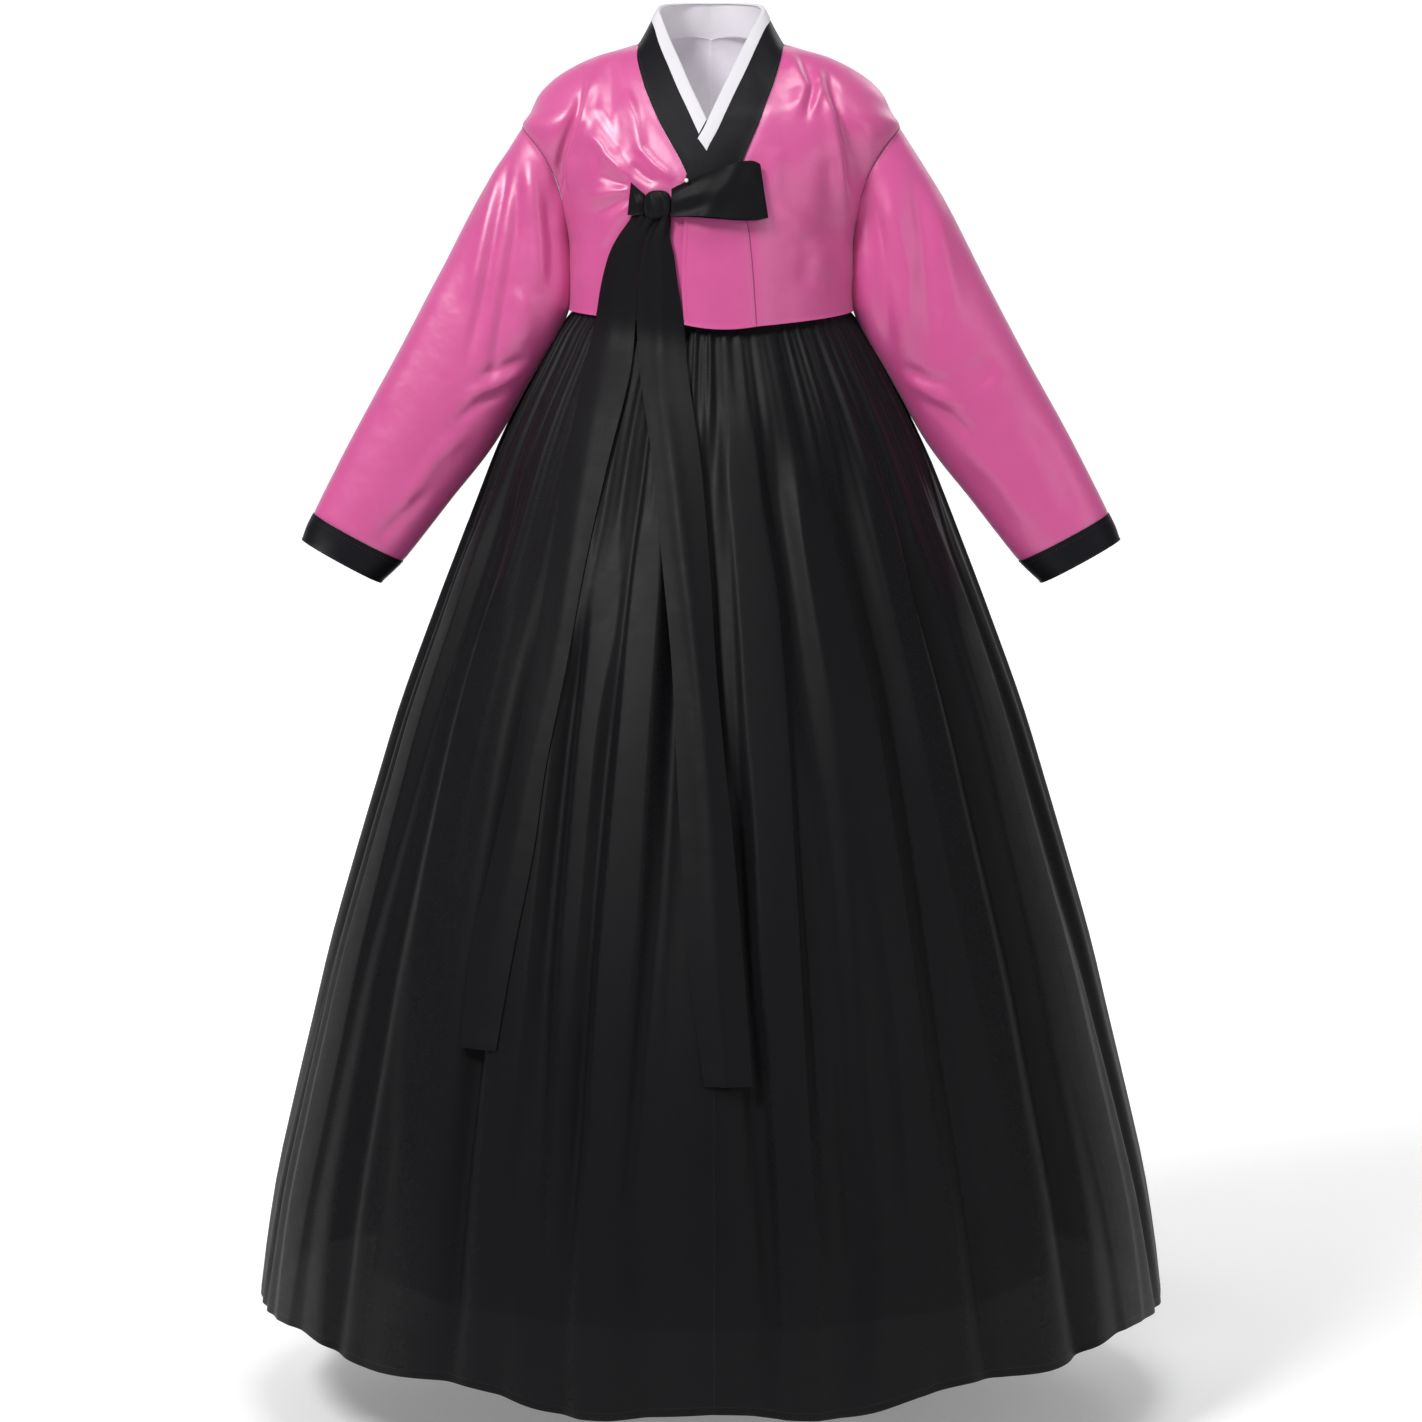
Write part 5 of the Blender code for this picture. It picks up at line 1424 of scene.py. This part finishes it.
@dataclass
class Bow:
    """The tied ribbon: knot, loop, short end and two long ends."""
    # x and z of the upper edge and of the lower one, and how far front and back stand off the chest
    loop_rows: Profile = field(default_factory=lambda: Profile(
        (-0.0394, -0.1475, -0.0394, -0.1760, 0.0108, 0.0052),
        (-0.0270, -0.1420, -0.0270, -0.1755, 0.0135, 0.0052),
        (-0.0030, -0.1325, -0.0030, -0.1770, 0.0165, 0.0052),
        (0.0220, -0.1240, 0.0235, -0.1790, 0.0162, 0.0052),
        (0.0400, -0.1205, 0.0450, -0.1790, 0.0145, 0.0052),
        (0.0500, -0.1230, 0.0572, -0.1765, 0.0115, 0.0055)))
    ear_rows: Profile = field(default_factory=lambda: Profile(
        (-0.0678, -0.1518, -0.0678, -0.1730, 0.0085, 0.0020),
        (-0.0740, -0.1465, -0.0750, -0.1730, 0.0100, 0.0014),
        (-0.0820, -0.1395, -0.0850, -0.1725, 0.0075, 0.0022)))
    knot_centre: Place = (-0.0535, -0.1632)
    knot_size: Place = (0.0272, 0.0296)
    knot_out: Place = (0.0008, 0.0150)
    # height, left and right edge, how far it stands off the chest
    left_tail: Profile = field(default_factory=lambda: Profile(
        (-0.1733, -0.0832, -0.0560, 0.0034), (-0.1785, -0.0858, -0.0575, 0.0034),
        (-0.1960, -0.0985, -0.0690, 0.0030),
        (-0.2150, -0.1080, -0.0735, 0.0026), (-0.2450, -0.1160, -0.0775, 0.0024),
        (-0.2800, -0.1220, -0.0790, 0.0022), (-0.3400, -0.1350, -0.0850, 0.0007),
        (-0.4300, -0.1520, -0.1070, 0.0007), (-0.5300, -0.1680, -0.1290, 0.0007),
        (-0.6300, -0.1840, -0.1470, 0.0007), (-0.7350, -0.2040, -0.1680, 0.0007),
        (-0.8200, -0.2220, -0.1800, 0.0007), (-0.9200, -0.2440, -0.2000, 0.0007),
        (-1.0150, -0.2540, -0.2165, 0.0007)))
    right_tail: Profile = field(default_factory=lambda: Profile(
        (-0.1733, -0.0545, -0.0425, 0.0045), (-0.1785, -0.0568, -0.0415, 0.0045),
        (-0.1960, -0.0683, -0.0425, 0.0040),
        (-0.2150, -0.0728, -0.0385, 0.0036), (-0.2450, -0.0768, -0.0345, 0.0034),
        (-0.2800, -0.0780, -0.0290, 0.0032), (-0.3400, -0.0740, -0.0235, 0.0007),
        (-0.4300, -0.0600, -0.0105, 0.0007), (-0.5300, -0.0500, -0.0015, 0.0007),
        (-0.6300, -0.0400, 0.0050, 0.0007), (-0.7350, -0.0345, 0.0150, 0.0007),
        (-0.8200, -0.0300, 0.0240, 0.0007), (-0.9200, -0.0230, 0.0320, 0.0007),
        (-1.0400, -0.0070, 0.0410, 0.0007)))
    loop_columns: int = 34
    loop_levels: int = 18
    loop_end: float = 0.35            # length in sections over which the loop rounds off
    gather_reach: float = 0.45        # share of the loop over which the gathers beside the knot die out
    gathers: Wave = Wave(1.0, 9.4, 1.2 + math.pi / 2, 0.5)
    # strength, share of the length, slant and width of a ridge and of the dip beyond it
    loop_creases: tuple[tuple[float, ...], ...] = ((0.8, 0.50, 1.4, 0.35), (-1.0, 0.68, -1.2, 0.5))
    knot_columns: int = 72
    knot_rows: int = 48
    knot_power: float = 2.0 / 2.9
    knot_end: float = 0.12            # share of its width that is left at its top and bottom
    knot_wave: Wave = Wave(0.0018, 6.0, 0.8 + math.pi / 2, 1.8)
    tail_rows: int = 150
    tail_columns: int = 18
    tail_soft: float = 0.0070         # how softly a long end goes over from the jacket to the skirt
    tail_off: float = 0.0009
    belly: float = 0.0016             # how far a long end bulges, and where its soft fold runs
    ridge_place: float = 0.52
    ridge_width: float = 0.16
    ridge_sway: float = 0.10
    sway_turns: float = 9.0
    tail_wave: Wave = Wave(0.0012, 16, slant=3.0)
    pinch: float = 0.0022             # height of the gathers below the knot, and over what length
    pinch_reach: float = 0.035
    pinch_turns: float = 14.0
    fold_rise: float = 0.0006         # the turned end stands up by this, over this length
    fold_length: float = 0.0105
    loop_cut: Place = (0.190, 0.050)
    ear_cut: Place = (0.036, 0.028)
    knot_cut: Place = (0.040, 0.052)
    left_tail_cut: Place = (0.046, 0.860)
    right_tail_cut: Place = (0.050, 0.890)

    def loop(self, name: str, rows: Profile, side: float, crumple: float) -> Piece:
        """Makes a flattened loop, open above and below.

        Args:
            name: the piece's name.
            rows: its sections, from the knot outwards.
            side: 1 if it ends towards the wearer's left, -1 for the right.
            crumple: height of its creases.

        Returns:
            The piece.
        """
        along = rows.last * near_edges(self.loop_columns, (0.01, 0.03, 0.06))
        level = near_edges(self.loop_levels, (0.02, 0.06))[:, None]
        faces = []
        for inset in (0.0, RIBBON):
            ring = []
            for front in (True, False):
                place = along if front else along[::-1]
                row = rows.at(place)
                middle, half = (row[:, 4] + row[:, 5]) / 2, (row[:, 4] - row[:, 5]) / 2
                away = rows.last - place
                near_end = np.clip(1.0 - away / self.loop_end, 0, 1)
                half = half * np.sqrt(np.clip(1.0 - near_end ** 2, 0.04, 1.0)) - inset
                out = middle + half * (1 if front else -1)
                if front:
                    gathered = np.exp(-place / (self.gather_reach * rows.last))
                    crease = gathered * self.gathers.at(level, place)
                    for strength, where, slant, width in self.loop_creases:
                        off = place - where * rows.last + slant * (level - 0.5)
                        crease = crease + strength * hump(off, width)
                    out = out + crumple * crease * np.sin(math.pi * np.clip(place / rows.last, 0, 0.96))
                end = inset * side * np.where(away < 1e-6, 1.0, np.where(place < 1e-6, -1.0, 0.0))
                x = row[:, 0] + (row[:, 2] - row[:, 0]) * level - end
                z = row[:, 1] + (row[:, 3] - row[:, 1]) * level
                ring.append(on_chest(x, z, out + 0 * x))
            faces.append(np.concatenate(ring, axis=1))
        return sew(name, *faces, BLACK_RIBBON, closed=True)

    def knot(self) -> Piece:
        """Makes the knot, a wrap of ribbon drawn tight.

        Returns:
            The piece.
        """
        turn = round_turn(self.knot_columns)
        rise = (math.pi * (np.linspace(0.0, 1.0, self.knot_rows) - 0.5))[:, None]
        across, out, up, flat = (fuller(value, self.knot_power)
                                 for value in (np.cos(turn), np.sin(turn), np.sin(rise), np.cos(rise)))
        flat = np.maximum(flat, self.knot_end)
        middle, half = sum(self.knot_out) / 2, (self.knot_out[1] - self.knot_out[0]) / 2
        crease = self.knot_wave.at(np.cos(turn), rise) * np.maximum(np.sin(turn), 0) * np.cos(rise)
        faces = []
        for inset in (0.0, RIBBON):
            x = self.knot_centre[0] + (self.knot_size[0] / 2 - inset) * across * flat
            z = self.knot_centre[1] + self.knot_size[1] / 2 * up + 0 * turn
            faces.append(on_chest(x, z, middle + (half - inset) * out * flat + crease))
        return sew("goreum_knot", *faces, BLACK_RIBBON, closed=True)

    def tail(self, name: str, rows: Profile, ridge: float, wander: float) -> Piece:
        """Makes a long end: down the chest, then lying on the skirt.

        Args:
            name: the piece's name.
            rows: its edges and how far it stands off the chest.
            ridge: height of the soft fold down its middle.
            wander: phase of its gentle waves.

        Returns:
            The piece.
        """
        low, high = rows.rows[-1, 0], rows.rows[0, 0]
        height = high + (low - high) * near_edges(self.tail_rows, (0.001, 0.0025, 0.0055))[:, None]
        share = near_edges(self.tail_columns, (0.015, 0.05))[None, :]
        row = rows.at(rows.place(0, height))
        x = row[..., 1] + (row[..., 2] - row[..., 1]) * share
        chest = -torso(*on_front(x, np.maximum(height, TORSO.rows[-2, 0]) + 0 * x))[..., 1] + row[..., 3]
        under = SKIRT.at(SKIRT.place(0, height))
        cloth = under[..., 2] * np.sqrt(np.clip(1.0 - (x / under[..., 1]) ** 2, 0, 1)) + self.tail_off
        below = np.where(height < SKIRT_TOP, cloth, 0.0)
        depth = self.tail_soft * np.logaddexp(chest / self.tail_soft, below / self.tail_soft)
        middle = np.sin(math.pi * share)
        sway = self.ridge_sway * np.sin(self.sway_turns * height + wander)
        pinched = self.pinch * np.exp((height - high) / self.pinch_reach)
        ripple = self.tail_wave.size + self.tail_wave.at(height + wander / self.tail_wave.turns, share)
        pinched = pinched * (1 + np.cos(self.pinch_turns * share + wander))
        wave = (self.belly + ripple + pinched) * middle
        wave = wave + ridge * hump(share - self.ridge_place - sway, self.ridge_width)
        hem = self.fold_rise * (height < low + self.fold_length)
        faces = [points(x, -(depth + wave + hem + off), height + 0 * x) for off in (RIBBON, 0.0)]
        return sew(name, *faces, BLACK_RIBBON)

    def build(self) -> None:
        knot = self.knot()
        declare(knot)
        loop = self.loop("goreum_loop", self.loop_rows, 1, 0.0028)
        declare(loop)
        ear = self.loop("goreum_ear", self.ear_rows, -1, 0.0016)
        declare(ear)
        left = self.tail("goreum_tail_left", self.left_tail, 0.0008, 1.0)
        declare(left)
        right = self.tail("goreum_tail_right", self.right_tail, 0.0026, 2.2)
        declare(right)


@dataclass
class Sewing:
    """Stitches along the seams and hems, and the small pearl bead on the bow."""
    spacing: float = 0.0042
    length: float = 0.0026
    thickness: float = 0.00034
    proud: float = 0.0004
    bead_place: Place = (-0.0240, -0.1406)
    bead_radius: float = 0.0021
    in_seam: float = -0.0003
    cord: Spot = (0.0013, 0.0022, 0.0009)
    hem_width: float = 0.0080
    skirt_seams: tuple[Place, ...] = (
        (0.35, -0.92), (62.0, -0.60), (-61.0, -0.60), (121.0, -0.50), (-119.0, -0.50))
    sleeve_line: float = 0.055        # places along the arm that are stitched
    cuff_lines: Place = (5.10, 5.90)
    seam_side: float = 0.0022         # how far from the overlap's seam and free edge the stitches run
    free_side: float = 0.0040
    back_side: float = 0.018
    collar_end: float = 11.9
    collar_line: float = 0.07
    collar_proud: float = 0.0003
    bead_out: float = 0.0172
    bead_hollow: float = 0.3
    seed: int = 7

    def stitch_tree(self) -> Tree:
        """Geometry nodes that lay stitches along lines.

        Returns:
            The node tree.
        """
        tree = bpy.data.node_groups.new("stitches", "GeometryNodeTree")
        group_socket(tree, "Lines", "Geometry")
        for name in ("Spacing", "Length", "Thickness"):
            group_socket(tree, name, "Float")
        group_socket(tree, "Seed", "Int")
        group_socket(tree, "Thread", "Material")
        group_socket(tree, "Stitches", "Geometry", out=True)
        given = tree.nodes.new("NodeGroupInput").outputs
        curve = joined(tree, "GeometryNodeMeshToCurve", {}, Mesh=given["Lines"]).outputs[0]
        even = joined(tree, "GeometryNodeResampleCurve", {"mode": "LENGTH"}, Curve=curve,
                      Length=given["Spacing"]).outputs[0]
        along = joined(tree, "GeometryNodeInputTangent", {}).outputs[0]
        turned = joined(tree, "FunctionNodeAlignRotationToVector", {"axis": "X"}, Vector=along).outputs[0]
        ball = joined(tree, "GeometryNodeMeshIcoSphere", {}, Radius=0.5, Subdivisions=1).outputs[0]
        uneven = joined(tree, "FunctionNodeRandomValue", {"data_type": "FLOAT"}, Min=0.85, Max=1.1,
                        Seed=given["Seed"]).outputs[1]
        long = joined(tree, "ShaderNodeMath", {"operation": "MULTIPLY"}, i0=given["Length"], i1=uneven)
        size = joined(tree, "ShaderNodeCombineXYZ", {}, X=long.outputs[0], Y=given["Thickness"],
                      Z=given["Thickness"]).outputs[0]
        laid = joined(tree, "GeometryNodeInstanceOnPoints", {}, Points=even, Instance=ball, Rotation=turned,
                      Scale=size).outputs[0]
        real = joined(tree, "GeometryNodeRealizeInstances", {}, Geometry=laid).outputs[0]
        coloured = joined(tree, "GeometryNodeSetMaterial", {}, Geometry=real, Material=given["Thread"])
        result = tree.nodes.new("NodeGroupOutput")
        tree.links.new(coloured.outputs[0], result.inputs[0])
        return tree

    def lay(self, name: str, lines: Sequence[Array], thread: Finish,
            size: Optional[Spot] = None) -> None:
        """Lays stitches along some lines and keeps them as one plain mesh.

        Args:
            name: the piece's name.
            lines: the lines, each an array of points.
            thread: the thread's finish.
            size: their spacing, length and thickness, if these are not the usual ones.

        Returns:
            Nothing.
        """
        spacing, length, thickness = size or (self.spacing, self.length, self.thickness)
        vertices, edges = [], []
        for line in lines:
            first = len(vertices)
            vertices += line.tolist()
            edges += [(first + i, first + i + 1) for i in range(len(line) - 1)]
        mesh = bpy.data.meshes.new(name)
        mesh.from_pydata(vertices, edges, [])
        made = bpy.data.objects.new(name, mesh)
        bpy.context.scene.collection.objects.link(made)
        tree = bpy.data.node_groups.get("stitches") or self.stitch_tree()
        modifier = made.modifiers.new("stitches", "NODES")
        modifier.node_group = tree
        ids = {item.name: item.identifier for item in tree.interface.items_tree if item.in_out == "INPUT"}
        for key, value in (("Spacing", spacing), ("Length", length), ("Thickness", thickness),
                           ("Seed", self.seed), ("Thread", thread.material())):
            modifier[ids[key]] = value
        bpy.context.view_layer.update()
        shown = made.evaluated_get(bpy.context.evaluated_depsgraph_get())
        plain = bpy.data.meshes.new_from_object(shown)
        made.modifiers.clear()
        made.data = plain
        plain.uv_layers.new(name="cut")
        plain.shade_smooth()
        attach(made, ROOT)
        LOG.info("%s: %d faces", name, len(plain.polygons))

    def bead(self) -> None:
        """Makes the pearl bead on the bow."""
        x, z = self.bead_place
        centre = on_chest(np.array(x), np.array(z), np.array(self.bead_out))
        rise = (math.pi * (np.linspace(0.02, 0.98, 15) - 0.5))[:, None]
        turn = round_turn(24)
        ball = points(np.cos(turn) * np.cos(rise), np.sin(turn) * np.cos(rise), np.sin(rise) + 0 * turn)
        faces = [centre + ball * self.bead_radius * share for share in (1.0, self.bead_hollow)]
        made = sew("pearl_bead", *faces, PEARL, closed=True)
        made.name = "pearl_bead"
        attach(made, ROOT)

    def round_sleeves(self, places: Sequence[float], proud: float) -> list[Array]:
        """Lines round both sleeves.

        Args:
            places: places along the arm.
            proud: how far the lines stand over the sleeve's form.

        Returns:
            The lines.
        """
        turn = np.linspace(0, 2 * math.pi, 121)
        lines = []
        for side in (1.0, -1.0):
            for place in places:
                at = np.full(len(turn), place)
                lines.append(mirrored(sleeve_base(at, turn) + sleeve_out(at, turn) * proud, side))
        return lines

    def on_lap(self, edge: Profile, start: float, end: float, aside: float, out: float) -> Array:
        """A line on the lapping front.

        Args:
            edge: the seam or free edge that it follows.
            start: how far below the edge's top it begins, in rows.
            end: how far above its lower end it stops.
            aside: how far beside it the line runs.
            out: how far it stands over the cloth's form.

        Returns:
            The line.
        """
        row = edge.at(np.linspace(start, edge.last - end, 80))
        x, z = row[:, 0] + aside, row[:, 1]
        return on_chest(x, z, lap(x, z) + out)

    def jacket(self) -> None:
        """Lays the stitches of the jacket's body, and dark cords sunk in its seams that paint the seams'
        shade.
        """
        jacket = Jacket()
        row = np.linspace(0.15, ARM_ROWS + SIDE_ROWS - 0.05, 160)
        station, angle = jacket.back_edge(row[row > BACK_NECK_ROWS + 0.3])
        pink = [*self.round_sleeves((self.sleeve_line,), self.proud),
                self.on_lap(LEFT_SEAM, 0.4, 0.05, -self.seam_side, self.proud),
                self.on_lap(FREE_EDGE, 0.2, 0.1, self.free_side, self.proud),
                skin(station, angle - self.back_side, np.full(len(station), self.proud))]
        self.lay("jacket_stitches", pink, PINK_THREAD)
        # painted shade: the seams have a real groove, and a dark cord in it stands in for the shade along
        # the seam line
        station, angle = armhole(np.linspace(0, 2 * math.pi, 241))
        hole = skin(station, angle, self.in_seam - jacket.sunk(station, angle))
        shade_cords = [hole, mirrored(hole, -1.0), self.on_lap(LEFT_SEAM, 0.4, 0.05, 0.0, self.in_seam)]
        self.lay("seam_threads", shade_cords, SEAM_SHADE, self.cord)

    def bands(self) -> None:
        """Lays the stitches of cuffs and collar."""
        black = self.round_sleeves(self.cuff_lines, PROUD + self.proud)
        along = np.linspace(-self.collar_end, self.collar_end, 400)
        out = np.full(len(along), PROUD + self.proud + self.collar_proud)
        black.append(collar_point(along, np.full(len(along), self.collar_line), out))
        self.lay("band_stitches", black, BLACK_THREAD)

    def skirt(self) -> None:
        """Lays the stitches of the skirt's hem and of the seams between its panels."""
        skirt = Skirt()
        around = np.linspace(0, 2 * math.pi, 900)
        dark = [skirt.surface(around, skirt.hem_height(around) + self.hem_width, self.proud)]
        for degrees, top in self.skirt_seams:
            angle = np.full(90, math.radians(degrees))
            low = float(skirt.hem_height(angle[:1])[0])
            dark.append(skirt.surface(angle, np.linspace(top, low + 0.001, len(angle)), self.proud))
        self.lay("skirt_stitches", dark, BLACK_THREAD)

    def build(self) -> None:
        """Makes all of the sewing."""
        self.jacket()
        self.bands()
        self.skirt()
        self.bead()


@dataclass(frozen=True)
class Lamp:
    """A soft light: where it stands, its width and height, and its power."""
    name: str
    place: Spot
    size: Place
    watts: float

    def add(self, aim: Spot) -> None:
        """Adds the light to the scene.

        Args:
            aim: the point that it faces.

        Returns:
            Nothing.
        """
        lamp = bpy.data.lights.new(self.name, "AREA")
        lamp.shape = "RECTANGLE"
        lamp.size, lamp.size_y = self.size
        lamp.energy = self.watts
        made = bpy.data.objects.new(self.name, lamp)
        way = np.array(aim) - self.place
        flat = math.hypot(way[0], way[1])
        made.location = self.place
        made.rotation_euler = (math.atan2(flat, -way[2]), 0.0, math.atan2(way[1], way[0]) - math.pi / 2)
        bpy.context.scene.collection.objects.link(made)


@dataclass
class Studio:
    """Pale floor and backdrop, soft lights and the camera."""
    floor: float = -1.4600
    # where the paper begins and ends, the radius of its bend, its height and half its width
    paper: tuple[float, ...] = (-7.0, 6.5, 2.5, 9.0, 9.0)
    paper_tones: tuple[tuple[float, ...], ...] = ((0.92, 0.92, 0.925, 1.0), (0.88, 0.88, 0.885, 1.0))
    camera_place: Spot = (0.0, -4.2, -0.30)
    camera_tilt: float = 5.5
    lens: float = 98.2
    sky: float = 0.17
    paper_glow: float = 0.56
    near_glow: float = 0.40           # grey of the paper's glow near by, and how fast it turns pale
    glow_slope: float = 0.4
    aim: Spot = (0.0, 0.0, -0.55)
    lamps: tuple[Lamp, ...] = (
        Lamp("key", (-2.4, -3.0, 2.6), (1.2, 1.2), 182.0), Lamp("fill", (3.0, -2.8, 0.4), (1.2, 2.2), 20.0),
        Lamp("rim", (2.2, 2.6, 1.8), (1.2, 1.2), 14.0), Lamp("top", (0.2, -1.5, 3.0), (1.6, 0.9), 60.0))

    def backdrop(self) -> None:
        """Makes the floor and the wall behind it as one curved sheet."""
        bend = np.linspace(0, math.pi / 2, 24)
        front, back, radius, high, wide = self.paper
        y = np.concatenate([(front,), back - radius + radius * np.sin(bend), (back,)])
        z = np.concatenate([(0.0,), radius - radius * np.cos(bend), (high,)]) + self.floor
        x = np.linspace(-wide, wide, 5)
        grid = points(x[None, :], y[:, None], z[:, None])
        index = np.arange(grid.shape[0] * grid.shape[1]).reshape(grid.shape[:2])
        mesh = bpy.data.meshes.new("backdrop")
        mesh.from_pydata(grid.reshape(-1, 3).tolist(), [], quads(index).tolist())
        mesh.shade_smooth()
        made = bpy.data.materials.new("pale paper")
        made.use_nodes = True
        tree = made.node_tree
        place = tree.nodes.new("ShaderNodeTexCoord").outputs["Object"]
        cloud = joined(tree, "ShaderNodeTexNoise", {}, Vector=place, Scale=0.6, Detail=2.0).outputs["Fac"]
        tone = joined(tree, "ShaderNodeMix", {"data_type": "RGBA"}, Factor=cloud)
        tone.inputs[6].default_value, tone.inputs[7].default_value = self.paper_tones
        shader = tree.nodes["Principled BSDF"]
        tree.links.new(tone.outputs[2], shader.inputs["Base Color"])
        behind = joined(tree, "ShaderNodeSeparateXYZ", {}, Vector=place).outputs[1]
        far = maths(tree, "MULTIPLY", behind, self.glow_slope, clamp=True)
        glow = joined(tree, "ShaderNodeMix", {"data_type": "RGBA"}, Factor=far)
        glow.inputs[6].default_value = (self.near_glow, self.near_glow, self.near_glow, 1.0)
        tree.links.new(tone.outputs[2], glow.inputs[7])
        tree.links.new(glow.outputs[2], shader.inputs["Emission Color"])
        shader.inputs["Emission Strength"].default_value = self.paper_glow
        shader.inputs["Roughness"].default_value = 0.9
        mesh.materials.append(made)
        stage = bpy.data.objects.new("backdrop", mesh)
        bpy.context.scene.collection.objects.link(stage)

    def build(self) -> None:
        """Sets up the whole studio."""
        scene = bpy.context.scene
        self.backdrop()
        world = bpy.data.worlds.new("soft white room")
        world.use_nodes = True
        room = world.node_tree.nodes["Background"]
        room.inputs["Color"].default_value = (1.0, 1.0, 1.0, 1.0)
        room.inputs["Strength"].default_value = self.sky
        scene.world = world
        for lamp in self.lamps:
            lamp.add(self.aim)
        scene.view_settings.view_transform = "Standard"
        lens = bpy.data.cameras.new("camera")
        lens.lens = self.lens
        lens.sensor_width = 36.0
        lens.clip_end = 60.0
        camera = bpy.data.objects.new("camera", lens)
        camera.location = self.camera_place
        camera.rotation_euler = (math.radians(90.0 - self.camera_tilt), 0.0, 0.0)
        scene.collection.objects.link(camera)
        scene.camera = camera


def main() -> None:
    """Builds the garment piece by piece, then the studio."""
    logging.basicConfig(level=logging.INFO, format="%(message)s")
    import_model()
    for part in (Skirt(), Jacket(), Collar(), Sleeves(), Bow(), Sewing(), Studio()):
        LOG.info("building the %s", type(part).__name__.lower())
        part.build()


if __name__ == "__main__":
    main()
